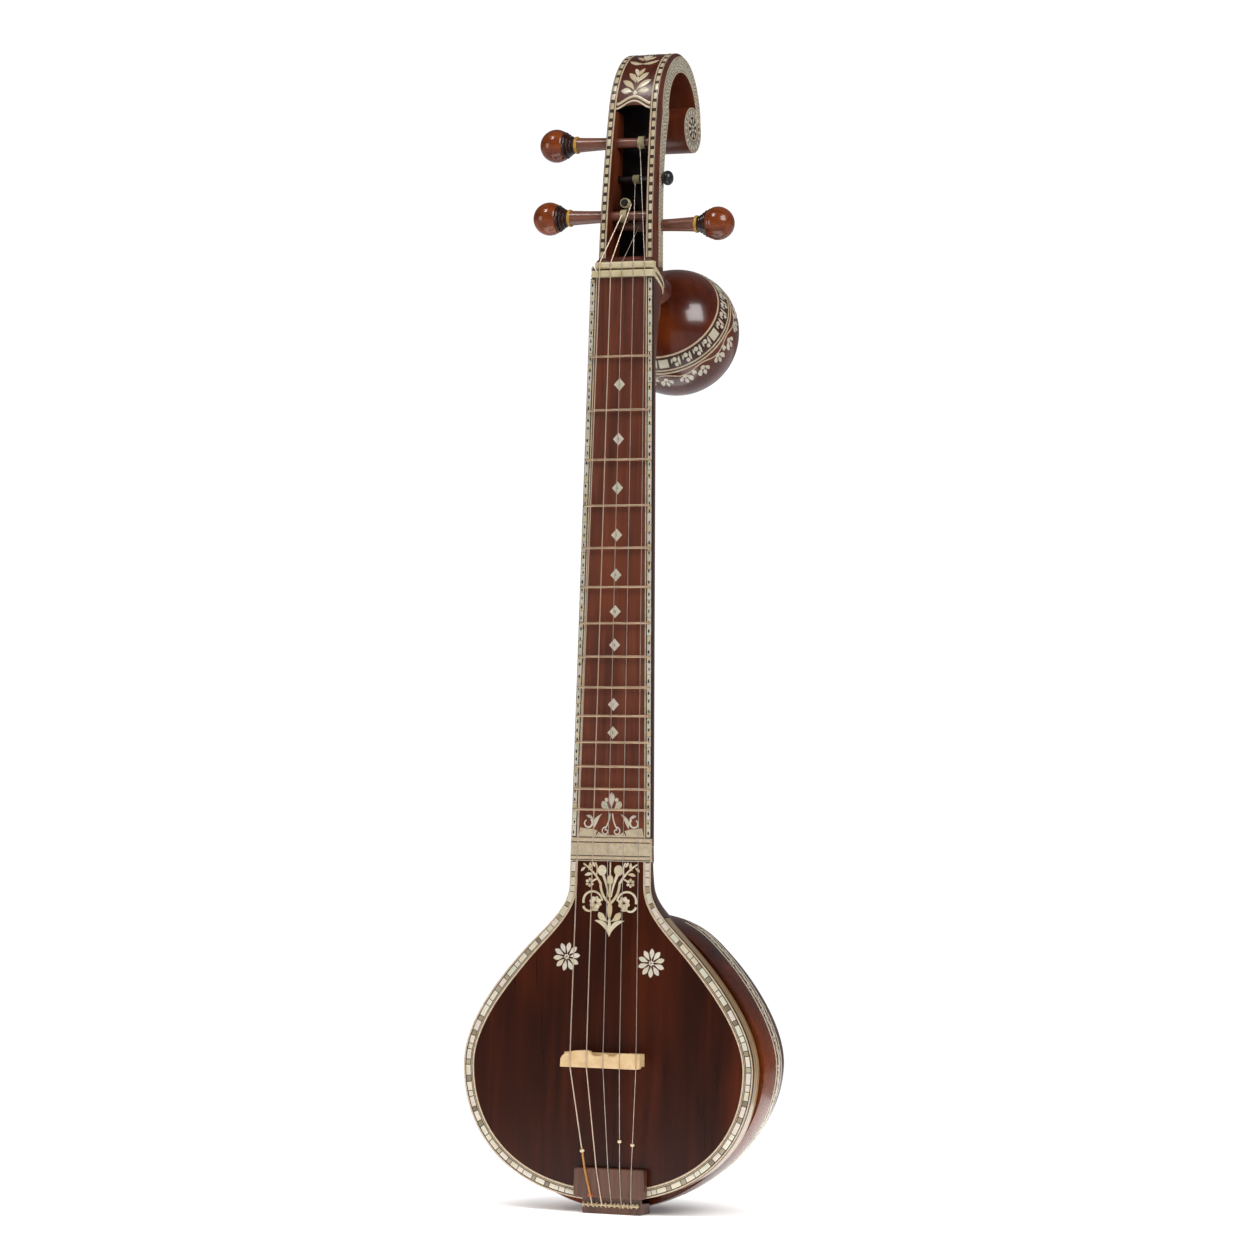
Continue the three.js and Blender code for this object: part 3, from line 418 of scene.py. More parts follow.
def bezier(p0, p1, p2, p3, steps):
    """Points and directions along a cubic curve, both ends included."""
    p0, p1, p2, p3 = (Vector(p) for p in (p0, p1, p2, p3))
    result = []
    for i in range(steps + 1):
        t = i / steps
        s = 1 - t
        point = p0 * s**3 + p1 * (3 * s * s * t) + p2 * (3 * s * t * t) + p3 * t**3
        along = (p1 - p0) * (s * s) + (p2 - p1) * (2 * s * t) + (p3 - p2) * (t * t)
        result.append((point, along.normalized()))
    return result


def arc(centre, radii, start, end, steps):
    """Points on an ellipse from start to end, in degrees."""
    points = []
    for i in range(steps + 1):
        angle = math.radians(lerp(start, end, i / steps))
        across, up = radii[0] * math.cos(angle), radii[1] * math.sin(angle)
        points.append(Vector((centre[0] + across, centre[1] + up)))
    return points


def circle(centre, radius, steps=60):
    return arc(centre, (radius, radius), 0, 360, steps)


def quadratic(start, bend, end, steps):
    """Points along a curve pulled towards bend."""
    shares = [i / steps for i in range(steps + 1)]
    return [start * (1 - t) ** 2 + bend * (2 * t * (1 - t)) + end * t**2 for t in shares]


class Route:
    """A path of 2D points that can be asked for the point at a distance along it."""

    def __init__(self, points):
        self.points = [Vector(p) for p in points]
        self.reach = [0.0]
        for a, b in zip(self.points, self.points[1:]):
            self.reach.append(self.reach[-1] + (b - a).length)
        self.length = self.reach[-1]

    def at(self, distance):
        distance = min(self.length, max(0, distance))
        k = 1
        while k < len(self.reach) - 1 and self.reach[k] < distance:
            k += 1
        span = self.reach[k] - self.reach[k - 1]
        share = (distance - self.reach[k - 1]) / span if span else 0
        return self.points[k - 1].lerp(self.points[k], share)

    def along(self, distance, step=0.5):
        return (self.at(distance + step) - self.at(distance - step)).normalized()

    def part(self, start, end, stations):
        return [self.at(lerp(start, end, i / (stations - 1))) for i in range(stations)]


def neck_half_width(z):
    share = (z - NECK_ROOT_Z) / (NECK_TOP_Z - NECK_ROOT_Z)
    return lerp(NECK_ROOT_HALF_WIDTH, NECK_TOP_HALF_WIDTH, share)


def half_outline():
    """The right half of the face from the bottom up: points and directions in x and z."""
    half, rise = FACE_HALF_WIDTH, SHOULDER_RISE
    widest = (half, FACE_WIDEST_Z)
    root = Vector((NECK_ROOT_HALF_WIDTH, NECK_ROOT_Z))
    top = Vector((neck_half_width(SOUNDBOARD_TOP_Z), SOUNDBOARD_TOP_Z))
    low_pull = lerp(FACE_WIDEST_Z, FACE_BOTTOM_Z, 0.6)
    belly = bezier((0, FACE_BOTTOM_Z), (0.6 * half, FACE_BOTTOM_Z), (half, low_pull), widest, 48)
    flank = bezier(widest, (half, FACE_WIDEST_Z + 40), SHOULDER - rise * 45, SHOULDER, 26)
    shoulder = bezier(SHOULDER, SHOULDER + rise * 30, (root.x, root.y - 25), root, 26)
    neck = [(root.lerp(top, i / 4), (top - root).normalized()) for i in range(1, 5)]
    return belly + flank[1:] + shoulder[1:] + neck


HALF_OUTLINE = half_outline()


def right_side(inset, top_z=SOUNDBOARD_TOP_Z):
    """The right half of the outline, moved inwards, from the bottom up to top_z."""
    points = []
    for point, along in HALF_OUTLINE:
        narrowing = lerp(1, BINDING_AT_NECK, smoothstep(point.y, 240, NECK_ROOT_Z))
        points.append(point + Vector((-along.y, along.x)) * inset * narrowing)
    kept = [p for p in points if p.y < top_z - 0.5]
    after = points[min(len(kept), len(points) - 1)]
    before = kept[-1]
    share = (top_z - before.y) / max(0.5, after.y - before.y)
    kept.append(Vector((lerp(before.x, after.x, share), top_z)))
    kept[0].x = 0
    return kept


def face_path(inset, top_z=SOUNDBOARD_TOP_Z):
    """From the top left, round the bottom, to the top right."""
    right = right_side(inset, top_z)
    left = [Vector((-p.x, p.y)) for p in reversed(right[1:])]
    return left + right


# ---- surfaces that inlays lie on --------------------------------------------------------------------
# Each gives the point and the outward normal for two coordinates in millimetres.


def front_at(y):
    def surface(u, v):
        return Vector((u, y, v)), Vector((0, -1, 0))

    return surface


def sphere_patch(centre, radius, axis, longitude):
    """Round a sphere: u runs along the circle of latitude, v along the meridian towards the axis."""
    axis = Vector(axis).normalized()
    across = axis.orthogonal().normalized()
    other = axis.cross(across)

    def surface(u, v):
        latitude = v / radius
        turn = longitude + u / (radius * math.cos(latitude))
        level = across * math.cos(turn) + other * math.sin(turn)
        normal = level * math.cos(latitude) + axis * math.sin(latitude)
        return Vector(centre) + normal * radius, normal

    return surface


RIBBON_SECTION = [(-1, 0), (-0.86, 0.75), (-0.4, 1), (0.4, 1), (0.86, 0.75), (1, 0)]


def ribbon(skin, surface, centre, half_width, lift=0.25, sink=0.12):
    """A raised strip on a surface along the (u, v) points of centre.

    half_width is a number or a function of the share along the strip.
    """
    last = len(centre) - 1
    rings = []
    for k, (u, v) in enumerate(centre):
        before, after = centre[max(k - 1, 0)], centre[min(k + 1, last)]
        along = Vector((after[0] - before[0], after[1] - before[1])).normalized()
        aside = Vector((-along.y, along.x))
        width = half_width(k / last) if callable(half_width) else half_width
        ring = []
        for across, height in RIBBON_SECTION:
            point, normal = surface(u + aside.x * across * width, v + aside.y * across * width)
            ring.append(point + normal * lerp(-sink, lift, height))
        rings.append(ring)
    skin.loft(rings)


def curve_between(base, tip, bend, steps):
    """Points from base to tip, bowed to the left by bend millimetres."""
    base, tip = Vector(base), Vector(tip)
    along = tip - base
    aside = Vector((-along.y, along.x)).normalized()
    return quadratic(base, (base + tip) / 2 + aside * bend * 2, tip, steps)


INLAY_LIFT = 0.25  # how far most strokes stand out


class Pen:
    """Draws raised strokes on a surface; side -1 mirrors them across the surface's middle line."""

    def __init__(self, skin, surface, side=1, lift=INLAY_LIFT):
        self.skin = skin
        self.surface = surface
        self.side = side
        self.lift = lift

    def stroke(self, points, half_width, lift=None):
        mirrored = [(self.side * u, v) for u, v in points]
        ribbon(self.skin, self.surface, mirrored, half_width, self.lift if lift is None else lift)

    def leaf(self, base, tip, width, bend=0.0, fullest=0.55, lift=None):
        """A pointed leaf or petal; fullest says where along it the leaf is widest."""
        power = math.log(0.5) / math.log(fullest)

        def half(share):
            return max(0.06, width / 2 * math.sin(math.pi * share**power) ** 0.8)

        self.stroke(curve_between(base, tip, bend, 9), half, lift)

    def stem(self, base, tip, start_width, end_width, bend=0.0):
        points = curve_between(base, tip, bend, 10)
        self.stroke(points, lambda share: lerp(start_width, end_width, share) / 2)

    def curl(self, centre, radii, angles, widths):
        """A spiral stroke between two angles in degrees, with two radii and two widths for its ends."""
        steps = max(8, int(abs(angles[1] - angles[0]) / 14))
        points = []
        for i in range(steps + 1):
            angle = math.radians(lerp(*angles, i / steps))
            radius = lerp(*radii, i / steps)
            points.append((centre[0] + radius * math.cos(angle), centre[1] + radius * math.sin(angle)))
        self.stroke(points, lambda share: lerp(*widths, share) / 2)

    def dot(self, centre, radius, stretch=1.0, lift=None):
        """A round or, with stretch, an oval spot that is longer along v."""
        points = [(centre[0], centre[1] - radius * stretch * math.cos(math.pi * i / 8)) for i in range(9)]
        self.stroke(points, lambda share: max(0.05, radius * math.sin(math.pi * share)), lift)

    def rosette(self, centre, petals, inner, outer, width, turn=0.0):
        """Petals round a centre; they are turned the same way on both sides."""
        centre = Vector(centre)
        for i in range(petals):
            angle = turn + 2 * math.pi * i / petals
            ray = Vector((self.side * math.sin(angle), math.cos(angle)))
            self.leaf(centre + ray * inner, centre + ray * outer, width, fullest=0.62, lift=INLAY_LIFT)


def tile_row(skins, surface, route, end, width, pattern, start=1.0, gap=0.8):
    """Tiles along a route. pattern is a list of (name of the skin, length); lengths vary a little."""
    distance = start
    index = 0
    while distance < end:
        kind, length = pattern[index % len(pattern)]
        index += 1
        stop = min(distance + length * rng.uniform(0.86, 1.14), end)
        if stop - distance > 1:
            points = route.part(distance, stop, max(3, int((stop - distance) / 2.5) + 1))
            half = width / 2 * rng.uniform(0.9, 1)
            ribbon(skins[kind], surface, points, half, lift=rng.uniform(0.16, 0.26))
        distance = stop + gap


# ---- materials --------------------------------------------------------------------------------------

BLACK = (0, 0, 0)
WHITE = (1, 1, 1)


def srgb(code):
    """A colour written as six hexadecimal digits."""
    values = [int(code[i : i + 2], 16) / 255 for i in (0, 2, 4)]
    return (*[v / 12.92 if v <= 0.04045 else ((v + 0.055) / 1.055) ** 2.4 for v in values], 1)


class Paint:
    """A Principled material under construction."""

    def __init__(self, name, roughness, metallic=0.0, coat=0.0, coat_roughness=0.06, specular=0.5):
        self.material = bpy.data.materials.new(name)
        self.material.use_nodes = True
        self.tree = self.material.node_tree
        self.feed("Roughness", roughness)
        self.feed("Metallic", metallic)
        self.feed("Coat Weight", coat)
        self.feed("Coat Roughness", coat_roughness)
        self.feed("Specular IOR Level", specular)

    def feed(self, name, value):
        """Gives an input of the Principled shader a value or another node's output."""
        feed(self.tree, self.tree.nodes["Principled BSDF"].inputs[name], value)

    def noise(self, stretch, detail=6.0, roughness=0.6, distortion=0.0):
        """Noise in object coordinates; stretch is how many times a metre it repeats in x, y and z."""
        where = add_node(self.tree, "TexCoord", {}).outputs["Object"]
        spot = add_node(self.tree, "Mapping", {"Vector": where, "Scale": stretch}).outputs["Vector"]
        kind = {"Scale": 1.0, "Detail": detail, "Roughness": roughness, "Distortion": distortion}
        return add_node(self.tree, "TexNoise", {"Vector": spot, **kind}).outputs["Fac"]

    def ramp(self, factor, stops, smooth=False):
        """Colours at given shares; each is six hexadecimal digits or red, green and blue."""
        node = add_node(self.tree, "ValToRGB", {"Fac": factor})
        if smooth:
            node.color_ramp.interpolation = "EASE"
        elements = node.color_ramp.elements
        while len(elements) < len(stops):
            elements.new(0.5)
        for element, (position, colour) in zip(elements, stops):
            element.position = position
            element.color = srgb(colour) if isinstance(colour, str) else (*colour, 1)
        return node.outputs["Color"]

    def mix(self, factor, first, second, blend="MIX"):
        node = self.tree.nodes.new("ShaderNodeMix")
        node.data_type = "RGBA"
        node.blend_type = blend
        for name, value in (("Factor", factor), ("A", first), ("B", second)):
            feed(self.tree, node.inputs[name], value)
        return node.outputs["Result"]

    def vary_roughness(self, factor, low, high):
        self.feed("Roughness", map_range(self.tree, factor, (0, 1), (low, high)))

    def finish(self, colour, height, strength, distance):
        """The material, with its colour and with a bump of a strength and a distance in metres."""
        self.feed("Base Color", colour)
        relief = {"Strength": strength, "Distance": distance, "Height": height}
        self.feed("Normal", add_node(self.tree, "Bump", relief).outputs["Normal"])
        return self.material


def wood(
    name,
    dark,
    middle,
    light,
    glow,
    grain,
    roughness=0.32,
    coat=0.9,
    glow_scale=9,
    streak=0.6,
    specular=0.5,
    relief=0.12,
):
    """Lacquered wood: fine grain stretched by `grain`, with larger glowing patches."""
    paint = Paint(name, roughness, coat=coat, coat_roughness=0.11, specular=specular)
    fine = paint.noise(grain, 9, 0.62, 0.5)
    body = paint.ramp(fine, [(0.3, dark), (0.52, middle), (0.74, light)])
    patches = paint.noise((glow_scale, glow_scale, glow_scale * 0.45), 3, 0.5, 0.3)
    patch_share = paint.ramp(patches, [(0.44, BLACK), (0.68, WHITE)], smooth=True)
    body = paint.mix(patch_share, body, paint.mix(fine, srgb(middle), srgb(glow)))
    pores = paint.noise([g * 3 for g in grain], 4, 0.7)
    pore_shade = paint.ramp(pores, [(0.3, (0.35, 0.35, 0.35)), (0.46, WHITE)])
    paint.vary_roughness(fine, roughness * 0.85, roughness * 1.2)
    return paint.finish(paint.mix(streak, body, pore_shade, "MULTIPLY"), pores, relief, 0.0004)


def inlay(name, colours, roughness=0.32, mottling=0.35, coat=0.6):
    """Small polished pieces, each with its own shade out of `colours`."""
    paint = Paint(name, roughness, coat=coat, coat_roughness=0.12)
    island = add_node(paint.tree, "NewGeometry", {}).outputs["Random Per Island"]
    shade_of = paint.ramp(island, [(i / len(colours), colour) for i, colour in enumerate(colours)])
    cloud = paint.noise((420, 420, 420), 4, 0.6, 0.6)
    veins = paint.ramp(cloud, [(0.32, (0.62, 0.62, 0.55)), (0.56, WHITE)])
    paint.vary_roughness(cloud, roughness * 0.8, roughness * 1.3)
    return paint.finish(paint.mix(mottling, shade_of, veins, "MULTIPLY"), cloud, 0.15, 0.0002)


def metal(name, colour, tarnish, roughness=0.28, stretch=(900, 900, 60), metallic=1.0):
    """Drawn metal with fine scratches."""
    paint = Paint(name, roughness, metallic=metallic)
    scratches = paint.noise(stretch, 5, 0.65)
    paint.vary_roughness(scratches, roughness * 1.5, roughness * 0.8)
    return paint.finish(paint.ramp(scratches, [(0.35, tarnish), (0.62, colour)]), scratches, 0.1, 0.0001)


def plain(name, colour, shadow, roughness, scale=140, coat=0.2, specular=0.5):
    """A smooth solid colour with faint clouds and a fine uneven surface."""
    paint = Paint(name, roughness, coat=coat, coat_roughness=0.2, specular=specular)
    cloud = paint.noise((scale, scale, scale), 6, 0.6, 0.3)
    paint.vary_roughness(cloud, roughness * 1.2, roughness * 0.85)
    return paint.finish(paint.ramp(cloud, [(0.3, shadow), (0.65, colour)]), cloud, 0.1, 0.0003)


RIM_BANDS = [  # the share of the rim's depth at which each shade is purest
    (0.0, "d2b894"), (0.1, "6e4e38"), (0.15, "c9ae88"), (0.3, "b59570"), (0.42, "7c5a40"),
    (0.46, "d4bc98"), (0.62, "bfa06c"), (0.72, "6b4a34"), (0.76, "cfb48c"), (0.92, "5a3826"),
]


def rim_stripes():
    """Fine bands of yellow, cream and brown wood that run round the edge, one behind the other."""
    paint = Paint("rim_stripes", 0.35, coat=0.7, coat_roughness=0.12)
    where = add_node(paint.tree, "TexCoord", {}).outputs["Object"]
    depth = add_node(paint.tree, "SeparateXYZ", {"Vector": where}).outputs["Y"]
    share = map_range(paint.tree, depth, (BOARD_THICKNESS * MM, RIM_BACK_Y * MM), (0, 1))
    grain = paint.noise((60, 900, 60), 7, 0.65)
    shadow = paint.ramp(grain, [(0.3, (0.55, 0.5, 0.42)), (0.6, WHITE)])
    return paint.finish(paint.mix(0.6, paint.ramp(share, RIM_BANDS), shadow, "MULTIPLY"), grain, 0.12, 0.0002)


ACROSS_FINE = (150, 150, 9)  # grain that runs up the neck
GOURD_GRAIN = (26, 26, 16)

look = {
    "soundboard": wood(
        "soundboard_wood", "230b03", "341104", "471a06", "6b2908", (60, 60, 4), 0.28, 0.0, 6, 0.1, 0.26, 0.03
    ),
    "gourd": wood(
        "gourd_lacquer", "2c0f07", "4e1b0b", "672b0e", "904210", GOURD_GRAIN, 0.26, 0.3, 11, 0.15, 0.4
    ),
    "tumba": wood(
        "upper_gourd_lacquer", "3a140b", "5a200d", "733010", "94440f", GOURD_GRAIN, 0.24, 0.6, 16, 0.1
    ),
    "neck": wood("neck_wood", "38170f", "5c2a1b", "733a27", "6c3320", ACROSS_FINE, 0.34, 0.3),
    "fingerboard": wood(
        "fingerboard_wood", "4a251b", "6e3623", "874a2e", "954a28", (120, 120, 5), 0.36, 0.4, 12, 0.4
    ),
    "head": wood("head_wood", "38160d", "5c2716", "75361c", "7c3b1c", (70, 70, 14), 0.34, 0.2, streak=0.4),
    "slot": wood("slot_wood", "3a170b", "6a2e14", "8a4520", "8f4a1e", (80, 80, 12), 0.5, 0.1),
    # near-black painted shade for the back and the ends inside the peg box
    "slot_painted_shade": plain("slot_shade", "140907", "0c0504", 0.6, 80, 0.0, 0.2),
    "band_ground": plain("band_ground", "a39a88", "8a8070", 0.45, 300, 0.3),
    "peg": wood(
        "peg_wood", "5a240f", "8c4119", "a85a28", "a8541e", (12, 90, 90), 0.22, 0.4, 22, 0.1, relief=0.02
    ),
    "peg_collar": plain("peg_collar", "3c1b16", "25100d", 0.3, 200, 0.5),
    "peg_shaft": wood(
        "peg_shaft_wood", "5a3628", "8a5846", "a46e56", "96604a", (20, 120, 120), 0.34, 0.4, 12, 0.2
    ),
    "tail": wood("tail_wood", "42251a", "5f3823", "70462e", "6e3e22", (120, 120, 12), 0.45, 0.25),
    "ebony": plain("ebony", "2b2b2d", "141416", 0.32, coat=0.5),
    "ground": plain("inlay_ground", "2a1a12", "170d08", 0.5, 400, 0.3),
    "brown_ground": plain("brown_ground", "4e3021", "2f1b12", 0.45, 300, 0.3),
    "pearl": inlay("pearl", ["efe9d8", "e6dcc4", "dcd2b8", "ece0cf", "e6d6cc", "dfdcc6"]),
    "olive": inlay("olive_pearl", ["a3937a", "8a7860", "b5a88c", "7a6850", "978a70", "c0b498"]),
    "bone": inlay("bone_inlay", ["e6d6b4", "dcc8a2", "efe2c6"], mottling=0.5),
    "line": plain("line_inlay", "e2cdb0", "c8ac8a", 0.35, 300),
    "ivory": plain("ivory_plastic", "efe2bd", "ddcb9c", 0.3, 90, 0.5),
    "plate": plain("plate_ivory", "dccbae", "bfae90", 0.34, 160, 0.4),
    "bridge": plain("bridge_bone", "efcfa0", "dfb984", 0.45, 120, 0.2),
    "ring": plain("yellow_ring", "d8a63c", "b9862a", 0.35, 300, 0.6),
    "thread": plain("cream_thread", "d8cda6", "a89a6c", 0.7, 900, 0.0),
    "pink_thread": plain("pink_thread", "a87f7a", "7c5854", 0.7, 900, 0.0),
    "golden_thread": plain("golden_thread", "e0a24a", "c07a2c", 0.5, 900, 0.1),
    "red_thread": plain("red_thread", "c8603a", "9c3f22", 0.6, 900, 0.0),
    "rim": rim_stripes(),
    "brass": metal("fret_brass", "dcc2a0", "b0917a", 0.34, (60, 900, 900), 0.75),
    "bronze": metal("string_bronze", "f0dac6", "d0b298", 0.34, metallic=0.6),
    "steel": metal("string_steel", "d8ccc0", "a89a90", 0.34, metallic=0.6),
    "screw": metal("screw_steel", "b8b8b8", "8d8d8d", 0.3),
}

PEARL_PATTERN = [("pearl", 10.2), ("olive", 5), ("pearl", 9.2), ("pearl", 5.6), ("pearl", 11), ("olive", 4.2)]


# ---- body -------------------------------------------------------------------------------------------


def make_soundboard():
    panel = slab(face_path(BINDING_WIDTH + GAP), 0, BOARD_THICKNESS)
    options = {"replaces": ["soundboard"], "bevel": 0.15}
    make_piece("soundboard_panel", panel, "soundboard", "soundboard_wood", **options)


def edge_band(outer_inset, inner_inset, front, back, top_z):
    """A band along the outline between two insets; it stays open across the top."""
    rings = []
    for out, into in zip(face_path(outer_inset, top_z), face_path(inner_inset, top_z)):
        corners = ((out, front), (into, front), (into, back), (out, back))
        rings.append([Vector((spot.x, y, spot.y)) for spot, y in corners])
    return Skin().loft(rings)


def face_line(skin, inset, half_width, lift=0.28):
    """A fine line round the face; it narrows with the binding towards the neck."""
    ribbon(skin, front_at(0), face_path(inset), half_width, lift)


BINDING_LINES = ((0.9, 0.75), (10.4, 0.95))  # how far in from the edge, and half the width
BINDING_HAIR_INSET = 8.5
BINDING_TILES_INSET = 5
BINDING_TILES_WIDTH = 5.4


def make_binding():
    ground = edge_band(0, BINDING_WIDTH, 0, BOARD_THICKNESS, SOUNDBOARD_TOP_Z)
    make_piece("binding_ground", ground, "ground", replaces=["soundboard_binding"], bevel=0.2)
    lines, hair_line = Skin(), Skin()
    for inset, half_width in BINDING_LINES:
        face_line(lines, inset, half_width)
    face_line(hair_line, BINDING_HAIR_INSET, 0.3, 0.2)
    make_piece("binding_lines", lines, "line")
    make_piece("binding_hair_line", hair_line, "line")
    skins = {"pearl": Skin(), "olive": Skin()}
    route = Route(face_path(BINDING_TILES_INSET))
    tile_row(skins, front_at(0), route, route.length - 1, BINDING_TILES_WIDTH, PEARL_PATTERN)
    make_piece("binding_pearl_tiles", skins["pearl"], "pearl")
    make_piece("binding_olive_tiles", skins["olive"], "olive")


def make_rim():
    band = edge_band(0.6, 7, BOARD_THICKNESS + GAP, RIM_BACK_Y, RIM_TOP_Z)
    make_piece("rim_band", band, "rim", "rim_bands", replaces=["rim"], bevel=0.4)


def gourd_profile(steps):
    """Radius and height, with the direction of the profile, from the bottom to the top."""
    r = GOURD_RADIUS
    widest = Vector((r, GOURD_WIDEST_Z))
    shoulder = GOURD_SHOULDER
    low = bezier((0, GOURD_BOTTOM_Z), (0.47 * r, GOURD_BOTTOM_Z), (r, GOURD_WIDEST_Z - 80), widest, steps[0])
    flank = bezier(widest, (r, GOURD_WIDEST_Z + 40), shoulder + Vector((21, -22)), shoulder, steps[1])
    top = bezier(
        shoulder, shoulder + Vector((-22, 23)), (0.41 * r, GOURD_TOP_Z), (0, GOURD_TOP_Z), steps[2]
    )
    return low + flank[1:] + top[1:]


def gourd_axis_y(z):
    return GOURD_AXIS_Y + GOURD_LEAN * (z - GOURD_WIDEST_Z)


def make_gourd():
    columns = 96
    rings = []
    for point, _ in gourd_profile((34, 20, 20)):
        radius, z = max(point.x, 0.02), point.y
        axis_y = gourd_axis_y(z)
        start = math.asin(max(-1, min(1, (RIM_BACK_Y + GAP - axis_y) / radius)))
        ring = []
        for i in range(columns + 1):
            angle = lerp(start, math.pi - start, i / columns)
            ring.append(Vector((radius * math.cos(angle), axis_y + radius * math.sin(angle), z)))
        rings.append(ring)
    shell = make_mesh("gourd_shell", Skin().loft(rings, caps=False, closed=False), 60)
    wall = {"thickness": GOURD_WALL * MM, "offset": -1, "use_even_offset": False}
    solid = applied(shell, "gourd", [("SOLIDIFY", wall)])
    shade(solid, 50)
    make_piece("gourd", solid, "gourd", "gourd_shell", replaces=["gourd_bowl"])


def half_round(half_width, front, back, z, exponent=2.0, steps=40):
    points = []
    for i in range(steps + 1):
        angle = math.pi * i / steps
        across = math.copysign(abs(math.cos(angle)) ** (2 / exponent), math.cos(angle))
        depth = abs(math.sin(angle)) ** (2 / exponent)
        points.append(Vector((half_width * across, front + (back - front) * depth, z)))
    return points


HEEL_DEPTHS = [(284, 112), (292, 102), (300, 90), (310, 75), (321, 61), (334, 50), (350, 42), (371.7, 37)]
HEEL_INSET = 2


def heel_depth(z):
    for (z0, d0), (z1, d1) in zip(HEEL_DEPTHS, HEEL_DEPTHS[1:]):
        if z <= z1:
            return lerp(d0, d1, (z - z0) / (z1 - z0))
    return HEEL_DEPTHS[-1][1]


def make_heel():
    rings = []
    bottom, top = HEEL_DEPTHS[0][0], HEEL_DEPTHS[-1][0]
    for i in range(31):
        z = lerp(bottom, top, i / 30)
        depth = sum(heel_depth(z + shift) for shift in (-5, 0, 5)) / 3
        half = right_side(HEEL_INSET, z)[-1].x if z < SOUNDBOARD_TOP_Z - 1 else neck_half_width(z) - 0.4
        rings.append(half_round(half, BOARD_THICKNESS + GAP, depth, z))
    recess = block(120, -10, RIM_BACK_Y + GAP, 200, RIM_TOP_Z + GAP)
    heel = cut(make_mesh("heel_body", Skin().loft(rings)), [recess], "heel")
    shade(heel, 40)
    make_piece("heel", heel, "gourd", "gourd_shell", replaces=["heel_block"])


def make_body_ornament():
    """The stem, buds and spirals between the neck and the soundboard, and the two daisies."""
    skin, petals, hearts = Skin(), Skin(), Skin()
    for side in (-1, 1):
        pen = Pen(skin, front_at(0), side)
        pen.leaf((0, 279.5), (16.3, 296), 5.2, 4.6)
        pen.leaf((1, 295), (12, 304.5), 7.0, -1.4, 0.66)
        pen.curl((19.5, 315), (11.4, 9.4), (175, -10), (2.0, 2.8))
        pen.curl((21.5, 311.5), (7.6, 4.0), (-10, -190), (2.8, 1.6))
        pen.rosette((15.6, 314), 8, 1.0, 7.0, 4.4, 0.3)
        pen.leaf((12, 306), (19.5, 306.5), 3.4, 0.8)
        pen.stem((1.2, 314), (10.5, 334), 2.8, 2.8, -2.4)
        pen.stem((10.3, 333.5), (29.5, 353.5), 2.8, 1.6, 1.8)
        pen.leaf((19, 343), (28, 341.5), 3.6, 0.8)
        pen.leaf((24, 346.5), (22.4, 355), 3.6, 0.8)
        pen.leaf((27, 350), (32, 345.5), 3.0, 0.6)
        pen.rosette((22.4, 334.4), 6, 0.8, 4.8, 3.2)
        pen.leaf((13.4, 338), (19.2, 335), 2.2, 1)
        pen.stem((1.6, 320), (7.8, 342.5), 1.2, 3.6, 0.9)
        pen.dot((9, 347), 5.2, 1.05)
        pen.stem((15.2, 342), (16.5, 355), 1.6, 1.6, 1.4)
        pen.leaf((16.5, 350), (19.8, 355.4), 3.2)
    pen = Pen(skin, front_at(0))
    pen.leaf((0, 280.5), (0, 301), 3.4)
    pen.leaf((0, 296), (0, 317), 6.2)
    pen.stem((0, 314), (0, 334), 1.8, 3.0)
    pen.dot((0, 337.5), 3.8, 1.3)
    pen.stem((0, 341), (0, 355.4), 1.6, 1.6)
    for x, z, turn in ((-46.2, 258.3, 0.2), (46.7, 254.1, 0.05)):
        Pen(petals, front_at(0)).rosette((x, z), 10, 3.4, 14.8, 5.4, turn)
        Pen(hearts, front_at(0)).rosette((x, z), 6, 0.4, 3.0, 2.0, turn)
    make_piece("soundboard_ornament", skin, "bone")
    make_piece("daisy_petals", petals, "pearl")
    make_piece("daisy_hearts", hearts, "pearl")


VINE_DEPTH_Y = 64
VINE_WAVE = 30
VINE_HEIGHT = 3.4


def gourd_flank(route, side):
    """The side of the gourd: u is the distance up its profile, v the depth behind the vine's line."""

    def surface(u, v):
        spot, along = route.at(u), route.along(u)
        axis_y = gourd_axis_y(spot.y)
        sine = max(-0.99, min(0.99, (VINE_DEPTH_Y + v - axis_y) / spot.x))
        cosine = math.sqrt(1 - sine * sine)
        normal = Vector((side * along.y * cosine, along.y * sine, -along.x)).normalized()
        return Vector((side * spot.x * cosine, axis_y + spot.x * sine, spot.y)), normal

    return surface


def make_gourd_vine():
    """A wavy vine with leaves and small flowers along each side of the gourd."""
    route = Route([point for point, _ in gourd_profile((60, 40, 40))])
    vine = Skin()
    start, end = 70, int(route.length) - 60

    def wave(u):
        return VINE_HEIGHT * math.sin(2 * math.pi * u / VINE_WAVE)

    for side in (-1, 1):
        pen = Pen(vine, gourd_flank(route, side), lift=0.45)
        pen.stroke([(u, wave(u)) for u in range(start, end, 2)], 0.8, 0.4)
        for edge in (-10.6, -9, 9, 10.6):
            pen.stroke([(u, edge) for u in range(start, end, 4)], 0.45, 0.35)
        u = start + VINE_WAVE / 4
        while u < end - 8:
            tip = 1 if round((u - start) / (VINE_WAVE / 2) - 0.5) % 2 == 0 else -1
            crest = wave(u)
            pen.rosette((u, -crest * 1.1), 5, 0.6, 4.4, 3.2)
            for way in (-1, 1):
                pen.leaf((u + way * 2, crest), (u + way * 8.6, crest + tip * 4.4), 4.4, -way * tip)
            u += VINE_WAVE / 2
    make_piece("gourd_vine", vine, "pearl")


# ---- neck -------------------------------------------------------------------------------------------


